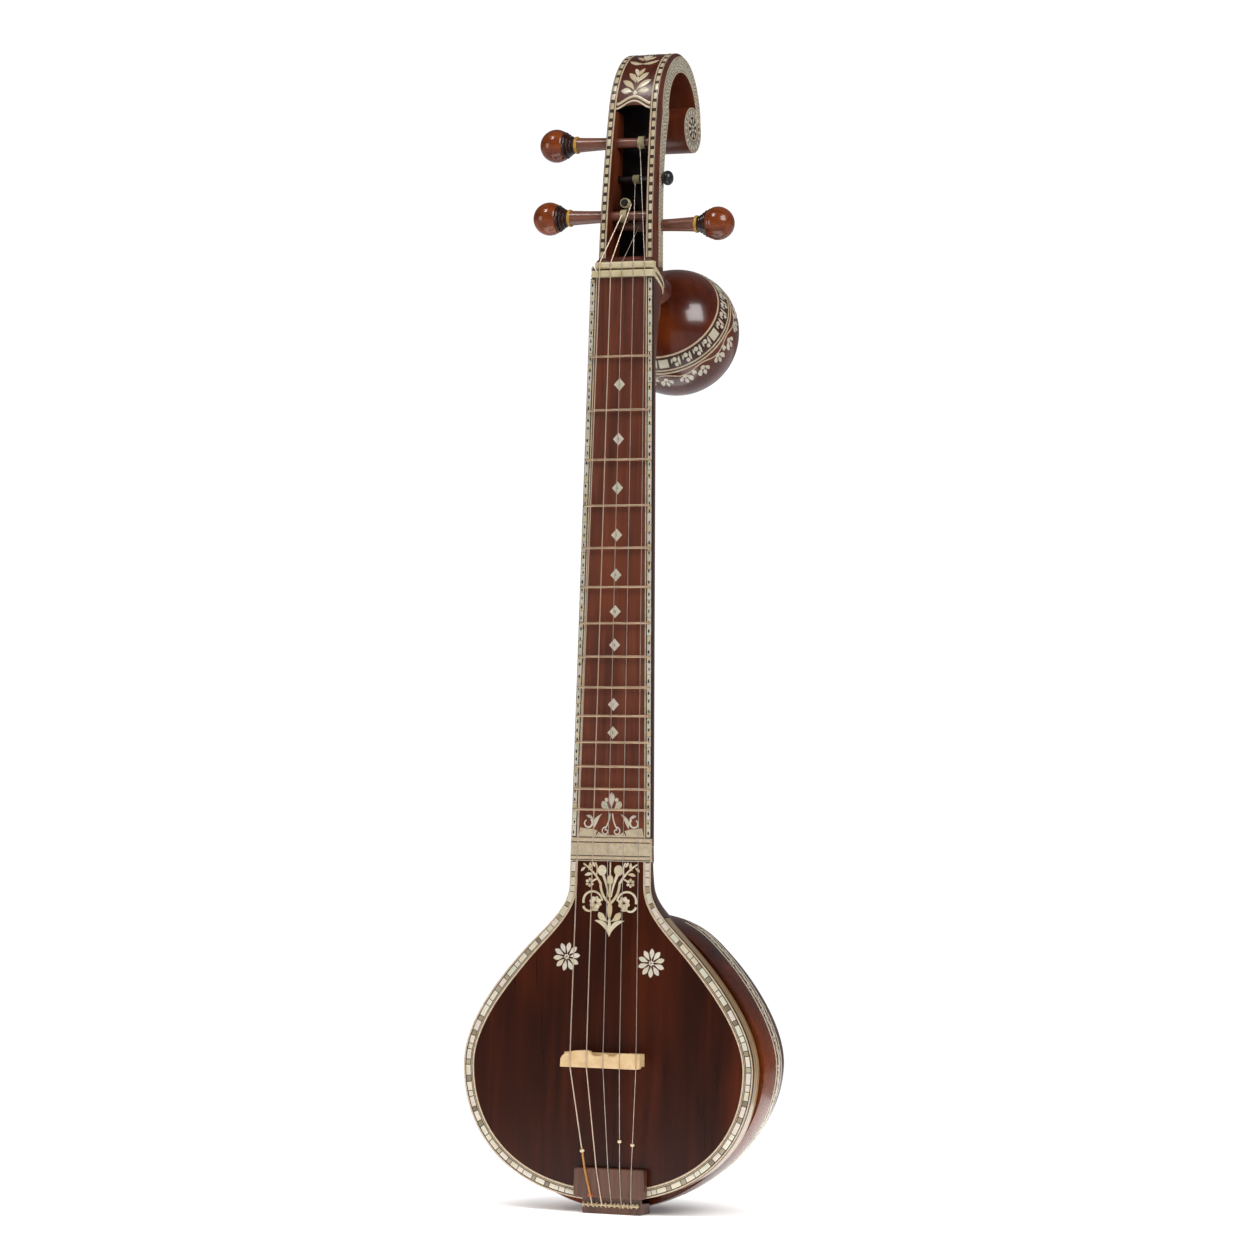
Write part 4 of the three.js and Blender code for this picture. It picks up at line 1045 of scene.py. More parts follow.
def neck_section(z):
    """Half width, back and squareness of the neck at a level."""
    flare = max(0, (z - NECK_FLARE_Z) / (NECK_TOP_Z - NECK_FLARE_Z))
    return neck_half_width(z), lerp(NECK_DEPTH, HEAD_BACK_Y, flare * flare), 2 + 2.5 * flare


def neck_ring(z, gap=0.0):
    half, back, exponent = neck_section(z)
    return half_round(half + gap, BOARD_THICKNESS + GAP, back + gap, z, exponent)


NECK_FLARE_LEVELS = [lerp(NECK_FLARE_Z, NECK_TOP_Z - GAP, i / 14) for i in range(15)]


def make_neck():
    levels = [lerp(NECK_BOTTOM_Z, NECK_FLARE_Z, i / 12) for i in range(12)] + NECK_FLARE_LEVELS
    skin = Skin().loft([neck_ring(z) for z in levels])
    make_piece("neck_back", skin, "neck", "neck_wood", replaces=["neck"], sharp_degrees=40)


def neck_side(side):
    """The flank of the neck: u is depth from the front, v is height."""

    def surface(u, v):
        half, back, exponent = neck_section(v)
        share = min(0.995, max(0, (u - BOARD_THICKNESS) / (back - BOARD_THICKNESS)))
        x = half * (1 - share**exponent) ** (1 / exponent)
        slope = half / (back - BOARD_THICKNESS) * share ** (exponent - 1)
        slope *= (1 - share**exponent) ** (1 / exponent - 1)
        return Vector((side * x, u, v)), Vector((side, slope, 0)).normalized()

    return surface


def across_neck(bottom, top, inset=0.0):
    """The corners of a panel across the neck between two levels."""
    low, high = neck_half_width(bottom) - inset, neck_half_width(top) - inset
    return [(-low, bottom), (low, bottom), (high, top), (-high, top)]


def up_neck(side, inset, levels):
    """Points up the neck's face at a distance in from its side."""
    return [(side * (neck_half_width(z) - inset), z) for z in levels]


BORDER_LINE_INSET = 6.7
BORDER_TILES_INSET = 2.7  # of the middle of the tiles, from the neck's side
BORDER_TILES_WIDTH = 4.9
BORDER_PATTERN = [("pearl", 11), ("olive", 7)]


def make_fingerboard():
    bottom, top = JOINT_PLATE_TOP_Z + GAP, NUT_Z - 4
    board = slab(across_neck(bottom, top, NECK_BORDER_WIDTH + GAP), 0, BOARD_THICKNESS)
    make_piece("fingerboard_panel", board, "fingerboard", "neck_wood", replaces=["fingerboard"], bevel=0.2)
    lines, spots = Skin(), Skin()
    skins = {"pearl": Skin(), "olive": Skin()}
    for side, label in ((-1, "left"), (1, "right")):
        outline = up_neck(side, 0, (bottom, top)) + up_neck(side, NECK_BORDER_WIDTH, (top, bottom))
        strip = slab(outline, 0, BOARD_THICKNESS)
        make_piece(f"border_ground_{label}", strip, "ground", replaces=[f"neck_border_{label}"], bevel=0.2)
        edge = up_neck(side, BORDER_LINE_INSET, [lerp(bottom, top, i / 40) for i in range(41)])
        ribbon(lines, front_at(0), edge, 0.72, 0.3)
        middle = Route(up_neck(side, BORDER_TILES_INSET, (bottom, top)))
        tile_row(skins, front_at(0), middle, top - bottom - 1, BORDER_TILES_WIDTH, BORDER_PATTERN, gap=0.35)
        z = bottom + 5
        while z < top - 4:
            x = side * (neck_half_width(z) - BORDER_TILES_INSET + rng.uniform(-0.3, 0.3))
            Pen(spots, front_at(0)).leaf((x, z - 2), (x, z + 2), rng.uniform(1.5, 2.3), 0, 0.5, 0.42)
            z += rng.uniform(7, 13)
    make_piece("border_lines", lines, "line")
    make_piece("border_pearl_tiles", skins["pearl"], "pearl")
    make_piece("border_shaded_tiles", skins["olive"], "bone")
    make_piece("border_spots", spots, "ground")


FRET_RADIUS = 1.25
FRET_BEND = 2.2  # radius of the bend at each end


def make_frets():
    """Each fret is a rod bent down at both ends into the borders."""
    for name in sorted(node for node in frame["nodes"] if node.startswith("fret_")):
        low, high = box_of(name)
        z = (low.z + high.z) / 2
        edge, front = high.x - FRET_RADIUS, low.y + FRET_RADIUS
        bend = (edge - FRET_BEND, front + FRET_BEND)
        end = [Vector((edge, 0.2))] + arc(bend, (FRET_BEND, -FRET_BEND), 0, 90, 6)
        path = [Vector((-p.x, p.y, z)) for p in end] + [Vector((p.x, p.y, z)) for p in reversed(end)]
        make_piece(f"{name}_rod", Skin().tube(path, FRET_RADIUS, 12), "brass", "fret_brass", replaces=[name])


FRET_MARK_HEIGHTS = [843.3, 787.3, 737.1, 689, 648.1, 610.7, 576.6, 515.8, 487.1]
DIAMOND_HALF_HEIGHT = 6.6
DIAMOND_HALF_WIDTH = 6.5


def make_fret_marks():
    """A pearl diamond between most pairs of frets."""
    marks, hearts = Skin(), Skin()
    for z in FRET_MARK_HEIGHTS:
        points = [(0, z + DIAMOND_HALF_HEIGHT * (i / 4 - 1)) for i in range(9)]
        pen = Pen(marks, front_at(0), lift=0.22)
        pen.stroke(points, lambda share: max(0.08, DIAMOND_HALF_WIDTH * (1 - abs(2 * share - 1))))
        Pen(hearts, front_at(0), lift=0.32).leaf((0.3, z - 2.2), (-0.2, z + 2.0), 1.5, 0.2)
    make_piece("fret_diamonds", marks, "pearl")
    make_piece("fret_diamond_hearts", hearts, "olive")


PLATE_FRONT_Y = -0.7


def make_joint_plate():
    bottom, top = SOUNDBOARD_TOP_Z + GAP, JOINT_PLATE_TOP_Z
    plate = slab(across_neck(bottom, top), PLATE_FRONT_Y, BOARD_THICKNESS)
    make_piece("joint_plate_panel", plate, "plate", "ivory_plastic", replaces=["joint_plate"], bevel=0.3)

    def bar(skin, z, half_width, lift):
        reach = neck_half_width(z) - 0.6
        points = [(lerp(-reach, reach, i / 12), z) for i in range(13)]
        ribbon(skin, front_at(PLATE_FRONT_Y), points, half_width, lift)

    bars, grooves = Skin(), Skin()
    for z, half_width in ((bottom + 3.6, 0.9), (top - 2.2, 1.5), (top - 5.8, 0.5)):
        bar(bars, z, half_width, 0.5)
    for z in (bottom + 1.2, bottom + 5.4, top - 4.6):
        bar(grooves, z, 0.45, 0.12)
    make_piece("joint_plate_bars", bars, "line", "ivory_plastic")
    make_piece("joint_plate_grooves", grooves, "ground", "ivory_plastic")


APRON_TOP = [  # x and height of its upper edge, from the middle outwards
    (0.2, 383), (8, 383.4), (12, 385), (16, 387.6), (20, 389.2), (27, 389.6), (33.6, 390.4), (35, 391),
]


def make_neck_ornament():
    """The ivory apron above the joint plate with its scrolls, and the trefoil on a stalk."""
    board = front_at(0)
    apron, skin, dark = Skin(), Skin(), Skin()
    bottom = JOINT_PLATE_TOP_Z + 0.6
    halves = [(height - bottom) / 2 for _, height in APRON_TOP]
    for side in (-1, 1):
        points = [(x, (bottom + height) / 2) for x, height in APRON_TOP]
        pen = Pen(apron, board, side, 0.2)
        pen.stroke(points, lambda share: halves[round(share * (len(halves) - 1))])
        pen = Pen(skin, board, side, 0.4)
        pen.curl((25.5, 395), (5.2, 3.4), (130, 420), (2.6, 1.2))
        pen.leaf((10, 404.5), (19, 389.5), 4.4, 2.2, 0.6)
        pen.stem((1.4, 405), (6.4, 389.5), 1.6, 1.3, -1.1)
        pen.curl((6, 386.8), (4.2, 1.4), (90, -310), (1.5, 1.1))
        pen.leaf((20, 399), (27.5, 402.5), 3.4, 0.8)
        pen.leaf((2.6, 409.5), (9.6, 417.5), 7.4, -1.4, 0.6)
        pen.dot((5.6, 418.6), 2.2)
        pen = Pen(dark, board, lift=0.3)
        pen.curl((side * 6, 386.8), (2.9, 2.9), (0, 350), (0.8, 0.8))
        pen.leaf((side * 13, 388), (side * 16.5, 382), 1.6, side * 0.5)
    Pen(skin, board).leaf((0, 409), (0, 426.5), 7.2, 0, 0.68, 0.45)
    make_piece("neck_apron", apron, "plate", "ivory_plastic")
    make_piece("neck_ornament", skin, "pearl")
    make_piece("neck_ornament_shadow", dark, "ground")


def make_nut():
    """Two ivory bars across the top of the fingerboard, with wings that sweep back round the neck."""
    for node, rounding in (("nut", 1.3), ("string_guide", 2.6)):
        low, high = box_of(node)
        corner = arc((low.y + rounding, low.z + rounding), (rounding, rounding), -90, -180, 6)
        lower_half = [(high.y, low.z)] + [(p.x, p.y) for p in corner]
        upper_half = [(y, low.z + high.z - z) for y, z in reversed(lower_half)]
        bar = Skin().prism(lower_half + upper_half, lambda y, z, x: Vector((x, y, z)), low.x, high.x)
        make_piece(f"{node}_bar", bar, "ivory", "ivory_plastic", replaces=[node], bevel=0.35)
    wings = Skin()
    low, high = box_of("nut")
    guide_low, _ = box_of("string_guide")
    front = BOARD_THICKNESS - 1
    for side in (-1, 1):
        for start_z, end, width, bend in (
            ((low.z + high.z) / 2, (37, 940), 5.6, 0.8),
            (guide_low.z + 1.5, (41, 945), 6.0, 1.6),
        ):
            points = curve_between((front, start_z), end, bend, 14)
            ribbon(wings, neck_side(side), points, lambda share: lerp(width, 0.9, share**0.8) / 2, 0.9, 0.3)
    make_piece("nut_wings", wings, "ivory", "ivory_plastic")


# ---- peg box and scroll -----------------------------------------------------------------------------


def head_half_width(z):
    share = (z - NECK_TOP_Z) / (HEAD_TOP_Z - NECK_TOP_Z)
    return lerp(HEAD_BOTTOM_HALF_WIDTH, HEAD_TOP_HALF_WIDTH, share)


def head_front_curve():
    """The front face from the scroll down to its foot: it leans back at the top and ends upright."""
    top = arc(SCROLL_CENTRE, SCROLL_RADII, SCROLL_ANGLES[1], 0, 1)[0]
    bend = Vector((HEAD_FOOT.x, top.y - (top.x - HEAD_FOOT.x) / FRONT_SLOPE))
    return quadratic(top, bend, HEAD_FOOT, 24)


def head_outline():
    foot_y = BOARD_THICKNESS + GAP
    outline = [Vector((foot_y, NECK_TOP_Z)), Vector((HEAD_BACK_Y, NECK_TOP_Z))]
    outline += arc(HOLLOW_CENTRE, HOLLOW_RADII, 180, HOLLOW_END, 40)
    outline += arc(VOLUTE_CENTRE, (VOLUTE_RADIUS, VOLUTE_RADIUS), *VOLUTE_ANGLES, 44)
    outline += arc(SCROLL_CENTRE, SCROLL_RADII, *SCROLL_ANGLES, 60)
    return outline + head_front_curve()[1:] + [Vector((foot_y, HEAD_FOOT.y - 3))]


HEAD_FRONT = Route(
    list(reversed(head_front_curve())) + arc(SCROLL_CENTRE, SCROLL_RADII, SCROLL_ANGLES[1], 8, 80)[1:]
)
SCROLL_FOOT = Route(head_front_curve()).length  # distance up the front at which the scroll begins


def head_front(u, v):
    """The front of the head: u is x, and v runs up the front and on over the scroll."""
    spot = HEAD_FRONT.at(v)
    along = HEAD_FRONT.along(v)
    return Vector((u, spot.x, spot.y)), Vector((0, -along.y, along.x))


def head_flank(side):
    """The side of the head: u is y and v is z."""
    lean = (HEAD_BOTTOM_HALF_WIDTH - HEAD_TOP_HALF_WIDTH) / (HEAD_TOP_Z - NECK_TOP_Z)
    normal = Vector((side, 0, lean)).normalized()

    def surface(u, v):
        return Vector((side * head_half_width(v), u, v)), normal

    return surface


def head_prism(outline):
    """An outline in y and z spread sideways to the head's width."""
    rings = []
    for side in (-1, 1):
        rings.append([Vector((side * head_half_width(z), y, z)) for y, z in outline])
    return Skin().loft(rings)


SLOT_TOP_Z = 1129
SLOT_BOTTOM_Z = 976
SLOT_ARCH = 6


def head_side_depth(z):
    rise = max(0, (z - HEAD_ROUND_FROM_Z) / (HEAD_ROUND_TOP_Z - HEAD_ROUND_FROM_Z))
    return lerp(HEAD_SIDE_DEPTH, HEAD_BACK_Y, min(1, rise) ** 2.5)


def head_back_block(gap):
    """What the rounded back leaves of the peg box, filled forwards, and wider by a gap all round."""
    rings = []
    for i in range(25):
        z = lerp(NECK_TOP_Z - 2, HEAD_ROUND_TOP_Z, i / 24)
        half = head_half_width(z) + gap
        ring = [Vector((-half, -10, z)), Vector((half, -10, z))]
        rings.append(ring + half_round(half, head_side_depth(z), HEAD_BACK_Y + gap, z, 2, 24))
    return make_mesh("head_back", Skin().loft(rings))


def back_corners():
    """The square corners that the rounded back takes off."""
    outline = [(-60, 30), (60, 30), (60, HEAD_BACK_Y + 10), (-60, HEAD_BACK_Y + 10)]
    around = Skin().prism(outline, lambda x, y, z: Vector((x, y, z)), NECK_TOP_Z - 1, HEAD_ROUND_TOP_Z - 0.1)
    return cut(make_mesh("around", around), [head_back_block(TOUCH)], "back_corners")


def slot_cutter():
    """The opening in the front of the peg box, with a low arch at its top."""
    levels = [lerp(SLOT_BOTTOM_Z, SLOT_TOP_Z, i / 10) for i in range(11)]
    right = [(head_half_width(z) - HEAD_WALL, z) for z in levels]
    arch = arc((0, SLOT_TOP_Z), (right[-1][0], SLOT_ARCH), 15, 165, 10)
    left = [(-x, z) for x, z in reversed(right)]
    return slab(right + [(p.x, p.y) for p in arch] + left, -10, HEAD_BACK_Y - HEAD_WALL)


def pegs():
    """Each peg's joint, with its place in millimetres and its direction."""
    found = {}
    for joint in frame["joints"]:
        if joint["child"].startswith("peg_"):
            found[joint["child"]] = (Vector(joint["pos_m"]) / MM, Vector(joint["axis"]))
    return found


PEGS = pegs()
BALL_PEGS = ["peg_upper_left", "peg_lower_left", "peg_lower_right"]
PEG_SHAFT_RADIUS = 5.4
SHORT_SHAFT_RADIUS = 3.5
PEG_HOLE_GAP = 0.5


def make_head():
    rounding = {"width": 0.9 * MM, "segments": 3, "limit_method": "ANGLE", "angle_limit": math.radians(50)}
    solid = make_mesh("head_body", head_prism(head_outline()), 25)
    body = applied(solid, "head_rounded", [("BEVEL", rounding)])
    cutters = [make_mesh("slot", slot_cutter()), back_corners()]
    for name, (place, axis) in PEGS.items():
        radius = shaft_radius(name) + PEG_HOLE_GAP
        start, end = (40, 70) if name == "peg_rear" else (3 - head_half_width(place.z), 60)
        hole = Skin().lathe([(radius, start), (radius, end)], place, axis, 32, caps=True)
        cutters.append(make_mesh("hole", hole))
    head = cut(body, cutters, "head")
    shade(head, 28)
    paint_slot(make_piece("head", head, "head", "head_wood", replaces=["peg_box_and_scroll"]))


def paint_slot(piece):
    """The walls inside the peg box are unpolished; its back and its ends get a near-black painted shade."""
    piece.data.materials.append(look["slot"])
    piece.data.materials.append(look["slot_painted_shade"])
    back = HEAD_BACK_Y - HEAD_WALL
    for face in piece.data.polygons:
        centre = face.center / MM
        inner = head_half_width(centre.z) - HEAD_WALL
        if not SLOT_BOTTOM_Z - 0.1 < centre.z < SLOT_TOP_Z + SLOT_ARCH + 0.2 or centre.y > back + 1:
            continue
        if abs(abs(centre.x) - inner) < 0.3 and abs(face.normal.x) > 0.9:
            face.material_index = 1
        # the back and the ends take the near-black painted shade
        elif abs(centre.x) < inner + 0.3 and (abs(centre.y - back) < 0.3 or abs(face.normal.z) > 0.3):
            face.material_index = 2


def edge_strip(side, inset, step=4):
    """Points up the head's front at a distance in from its side."""
    start, end = 1, HEAD_FRONT.length - 2
    count = int((end - start) / step)
    levels = [lerp(start, end, i / count) for i in range(count + 1)]
    return [(side * (head_half_width(HEAD_FRONT.at(v).y) - inset), v) for v in levels]


HEAD_EDGE_LINES = ((6.9, 0.85, 0.35), (1.0, 0.3, 0.25))  # inset, half width and lift
HEAD_TILES_INSET = 3.5
HEAD_TILES_WIDTH = 4.2
HEAD_PATTERN = [("pearl", 6.4), ("olive", 2.4)]


def make_head_inlays():
    lines, ground = Skin(), Skin()
    skins = {"pearl": Skin(), "olive": Skin()}
    for side in (-1, 1):
        for inset, half_width, lift in HEAD_EDGE_LINES:
            ribbon(lines, head_front, edge_strip(side, inset), half_width, lift)
        ribbon(ground, head_front, edge_strip(side, HEAD_TILES_INSET + 0.1), 3.4, 0.06)
        route = Route(edge_strip(side, HEAD_TILES_INSET, 2))
        tile_row(skins, head_front, route, route.length, HEAD_TILES_WIDTH, HEAD_PATTERN, 0, 0.6)
    make_piece("head_edge_lines", lines, "line")
    make_piece("head_pearl_tiles", skins["pearl"], "bone")
    make_piece("head_dark_tiles", skins["olive"], "brown_ground")
    make_piece("head_edge_ground", ground, "ground")


def make_head_ornament():
    """On the front of the scroll: a double wave over the slot, a palmette and a spread flower."""
    skin = Skin()
    centre_pen = Pen(skin, head_front, lift=0.5)
    for foot, peak, half_width in ((-0.5, 7.6, 1.0), (4.2, 12.6, 1.5)):
        points = []
        for i in range(25):
            share = i / 12 - 1
            height = (0.5 + 0.5 * math.cos(math.pi * share)) ** 0.8
            points.append((share * 18.6, SCROLL_FOOT + lerp(foot, peak, height)))
        centre_pen.stroke(points, half_width)
    base = SCROLL_FOOT + 16
    for side in (-1, 1):
        pen = Pen(skin, head_front, side, 0.55)
        pen.leaf((2.6, base + 1.6), (15.6, base + 3), 7.4, 0.8, 0.6)
        pen.leaf((1.0, base + 3.5), (15.6, base + 15.6), 6.6, 1.6, 0.6)
        pen.leaf((0.8, base + 12), (10.8, base + 25.5), 6.2, 1.4, 0.6)
        pen.leaf((0.4, base + 20.5), (5.2, base + 32), 4.6, 0.8, 0.6)
    centre_pen.dot((0, base + 0.4), 2.4, 1.2)
    centre_pen.dot((0, base + 17.5), 1.8, 1.6)
    top = SCROLL_FOOT + 56
    for side in (-1, 1):
        pen = Pen(skin, head_front, side, 0.5)
        pen.leaf((0, top), (16, top + 6.5), 4.8, -1.5, 0.5)
        pen.leaf((1.5, top + 6), (10, top + 15), 4.6, 1.2, 0.6)
        pen.leaf((1, top + 9), (4.6, top + 21), 4.2, 0.8, 0.6)
        pen.leaf((5, top + 33), (13, top + 43), 4.4, 1, 0.6)
    centre_pen.leaf((0, top + 7), (0, top + 24), 4.4, 0, 0.6)
    middle = top + 38
    while middle < HEAD_FRONT.length - 12:
        centre_pen.rosette((0, middle), 8, 1.4, 8.2, 3.6)
        middle += 22
    make_piece("scroll_ornament", skin, "bone")


BAND_INSET = 0.6


def head_side_band():
    """The floral band behind the front edge: its middle line in y and z, and its half width there."""
    middle, halves = [], []
    for i in range(41):
        z = lerp(967, HOLLOW_CENTRE.y, i / 40)
        half = lerp(5.4, 8.0, smoothstep(z, 1040, 1130))
        middle.append(Vector((head_side_depth(z) + BAND_INSET - half, z)))
        halves.append(half)
    for i in range(1, 61):
        half = lerp(8.0, 5.6, smoothstep(i, 28, 52))
        angle = lerp(180, -6, i / 60)
        radii = HOLLOW_RADII + Vector((half + BAND_INSET, half + BAND_INSET))
        middle += arc(HOLLOW_CENTRE, radii, angle, 0, 1)[:1]
        halves.append(half)
    return middle, halves


def band_spot(middle, halves, index, across):
    """A point of the band and its direction; across runs from -1 to 1 over the band's width."""
    before, after = middle[max(index - 1, 0)], middle[min(index + 1, len(middle) - 1)]
    along = (after - before).normalized()
    aside = Vector((-along.y, along.x))
    return middle[index] + aside * (across * halves[index]), along, aside


SPRAY_STEP = 6.2


def make_side_spray(flowers, dark, spot, along, aside, reach):
    """A flower in the side band with leaves that lean out to both edges."""
    flowers.rosette(spot, 5, 0.6, 3.0, 2.1, rng.uniform(0, 1))
    dark.dot(spot, 0.7, lift=0.45)
    for lean in (-1, 1):
        out = aside * lean
        base = spot + along * 3.0 + out
        flowers.leaf(base, base + along * 2.0 + out * (reach - 1.6), 2.3, lean * 0.4)
        base = spot - along * 1.2 + out * 3.4
        flowers.leaf(base, base + along * 2.4 + out * (reach - 4.0), 1.9, -lean * 0.3)
        spray = spot + along * 1.4 + out * reach * 0.55
        dark.leaf(spray, spray + along * 1.9 + out * 0.6, 0.7)


def make_volute_inlays(pens):
    """Two rings of leaves round the eye of the scroll."""
    ground, lines, flowers, dark = pens
    eye = VOLUTE_CENTRE + Vector((0, 2))
    ground.stroke(circle(VOLUTE_CENTRE, 17.5), 6.2)
    dark.dot(eye, 12.4, lift=0.12)
    lines.stroke(circle(VOLUTE_CENTRE, VOLUTE_RADIUS - 0.8), 0.6)
    lines.stroke(circle(eye, 12.6), 0.6)
    for ray in circle((0, 0), 1, 18)[:-1]:
        spot = VOLUTE_CENTRE + ray * 18.4
        flowers.leaf(spot - ray * 2.4, spot + ray * 2.8, 3.0, 0.3, lift=0.35)
    flowers.rosette(eye, 8, 4.4, 11.2, 4.0, 0.2)
    flowers.rosette(eye, 6, 0.8, 4.2, 2.4)


def make_head_side_inlays():
    skins = {"ground": Skin(), "lines": Skin(), "flowers": Skin(), "shadows": Skin()}
    middle, halves = head_side_band()
    last = len(middle) - 1
    for side in (-1, 1):
        lifts = {"ground": 0.08, "lines": 0.35, "flowers": INLAY_LIFT, "shadows": INLAY_LIFT}
        pens = [Pen(skins[part], head_flank(side), lift=lift) for part, lift in lifts.items()]
        ground, lines, flowers, dark = pens
        ground.stroke(middle, lambda share: halves[round(share * last)])
        for across in (-0.97, 0.97):
            lines.stroke([band_spot(middle, halves, i, across)[0] for i in range(last + 1)], 0.55)
        travelled = 3.0
        for index in range(2, last - 1):
            travelled += (middle[index] - middle[index - 1]).length
            if travelled >= SPRAY_STEP:
                travelled = 0.0
                place = band_spot(middle, halves, index, rng.uniform(-0.15, 0.15))
                make_side_spray(flowers, dark, *place, halves[index] * 0.86)
        make_volute_inlays(pens)
    kinds = {"ground": "band_ground", "lines": "line", "flowers": "pearl", "shadows": "ground"}
    for part, kind in kinds.items():
        make_piece(f"head_side_{part}", skins[part], kind)


# ---- pegs -------------------------------------------------------------------------------------------

BALL_RADIUS = 17.2
RING_OFFSET = 23
RING_HALF_LENGTH = 1.6
BALL_START = -34  # degrees of latitude at which the ball leaves its collar
BALL_GROOVE = -0.36  # radians of latitude of the groove turned in it
FLUTE_COUNT = 26
TURNS_HALF_LENGTH = 4
TURNS_DEPTH = 1.7  # how far the string's turns stand out from the shaft in the model
REAR_TURNS_RADIUS = 5.6
WOUND = {
    "peg_upper_left": (5, 7.5),
    "peg_lower_left": (1, -8),
    "peg_lower_right": (3, 7),
    "peg_short_right": (4, 0),
    "peg_rear": (2, 22),
}  # which string each peg carries, and where its turns lie in x, or in y on the rear peg


def ball_centre(name):
    """How far along its axis the ball's middle lies, from the CAD peg's far end."""
    low, high = box_of(name)
    return max(abs(low.x), abs(high.x)) - BALL_RADIUS + 0.4


def shaft_radius(name):
    return PEG_SHAFT_RADIUS if name in BALL_PEGS else SHORT_SHAFT_RADIUS


def make_ball_peg(name):
    place, axis = PEGS[name]
    middle = ball_centre(name)
    wall = head_half_width(place.z)
    ring = middle - RING_OFFSET
    ring_start, ring_end = ring - RING_HALF_LENGTH, ring + RING_HALF_LENGTH
    shaft_end, collar_start = ring_start - GAP, ring_end + GAP

    def turn(part, profile, segments, kind, slot="peg_wood", ripple=None, **options):
        skin = Skin().lathe(profile, place, axis, segments, ripple)
        make_piece(f"{name}_{part}", skin, kind, slot, body=name, **options)

    shoulder = wall + 0.6
    shaft = [(0, 4 - wall), (3.9, 4 - wall), (4.2, 4.4 - wall), (PEG_SHAFT_RADIUS, wall)]
    shaft += [(PEG_SHAFT_RADIUS, shoulder - 0.2)]
    shaft += [(lerp(6.2, 7.7, (i / 8) ** 1.4), lerp(shoulder, shaft_end, i / 8)) for i in range(9)]
    turn("shaft", shaft + [(5.6, shaft_end), (5.6, collar_start), (0, collar_start)], 40, "peg_shaft")

    collar = [(5.0, collar_start), (8.0, collar_start), (8.4, collar_start + 0.8), (8.0, collar_start + 2)]
    for k, size in enumerate((9.6, 11.6, 13.8)):
        base = collar_start + 2.2 + k * 3.2
        collar += [(size - 0.9, base), (size, base + 0.8), (size, base + 2.0), (size - 0.5, base + 2.9)]
    top = collar_start + 12
    turn("collar", collar + [(12.4, top), (0, top)], 56, "peg_collar")

    low_edge = arc((0, middle), (BALL_RADIUS, BALL_RADIUS), BALL_START, 90, 1)[0] - Vector((0.5, 0.3))
    ball = [(0, low_edge.y), (12, low_edge.y), low_edge]
    for i in range(33):
        angle = math.radians(lerp(BALL_START, 90, i / 32))
        groove = 0.4 * math.exp(-(((angle - BALL_GROOVE) / 0.045) ** 2))
        radius = max(0, BALL_RADIUS * math.cos(angle) - groove)
        ball.append((radius, middle + BALL_RADIUS * math.sin(angle)))

    def flutes(angle, along):
        band = 1 - smoothstep(abs(along - middle - 2) / BALL_RADIUS, 0.35, 0.85)
        groove = math.exp(-((math.remainder(angle * FLUTE_COUNT / (2 * math.pi), 1) / 0.12) ** 2))
        return 1 - 0.012 * band * groove

    turn("ball", ball, 112, "peg", ripple=flutes, replaces=[name], sharp_degrees=50)
    band = [(5.9, ring_start), *arc((8.3, ring), (0.8, RING_HALF_LENGTH), -90, 90, 12)]
    band += [(5.9, ring_end), (5.9, ring_start)]
    turn("band", band, 48, "ring", "ring_yellow", replaces=[f"{name}_ring"])


def make_short_peg(name):
    place, axis = PEGS[name]
    if name == "peg_rear":
        origin = Vector((place.x, 0, place.z))
        head_start, tip = HEAD_BACK_Y + 2, 16
    else:
        origin = place
        wall = head_half_width(place.z)
        head_start, tip = wall + 0.8, 4.2 - wall
    profile = [(0, tip), (2.7, tip), (3.0, tip + 0.4)]
    profile += [(SHORT_SHAFT_RADIUS, head_start - 0.2), (5.2, head_start)]
    for spoke in arc((0, 0), (1, 1), -60, 90, 20):
        profile.append((7.6 * max(0, spoke.x) ** 0.7, head_start + 4.6 + 5.4 * spoke.y))
    skin = Skin().lathe(profile, origin, axis, 48)
    make_piece(f"{name}_knob", skin, "ebony", "ebony", body=name, replaces=[name], sharp_degrees=45)


def make_winding(name):
    """The string's turns round a peg, side by side."""
    string, middle = WOUND[name]
    place, axis = PEGS[name]
    wire = STRING_RADII[string - 1]
    reach = TURNS_HALF_LENGTH - wire
    if name == "peg_rear":
        centre = Vector((place.x, 0, place.z)) + axis * middle
    else:
        centre = Vector((middle, place.y, place.z))
    turns = int(2 * TURNS_HALF_LENGTH / (2.1 * wire))
    path = helix(centre - axis * reach, centre + axis * reach, shaft_radius(name) + 0.45 + wire, turns, 18)
    skin = Skin().tube(path, wire * 1.02, 6)
    kind = "pink_thread" if name == "peg_lower_right" else "thread"
    make_piece(f"turns_{string}", skin, kind, "string_turns", body=name, replaces=[f"winding_{string}"])


def make_pegs():
    for name in WOUND:
        make_peg = make_ball_peg if name in BALL_PEGS else make_short_peg
        make_peg(name)
    for name in WOUND:
        make_winding(name)


# ---- strings, beads, bridge and tail ----------------------------------------------------------------


def spread(pair, i):
    return pair[0] + pair[1] * i


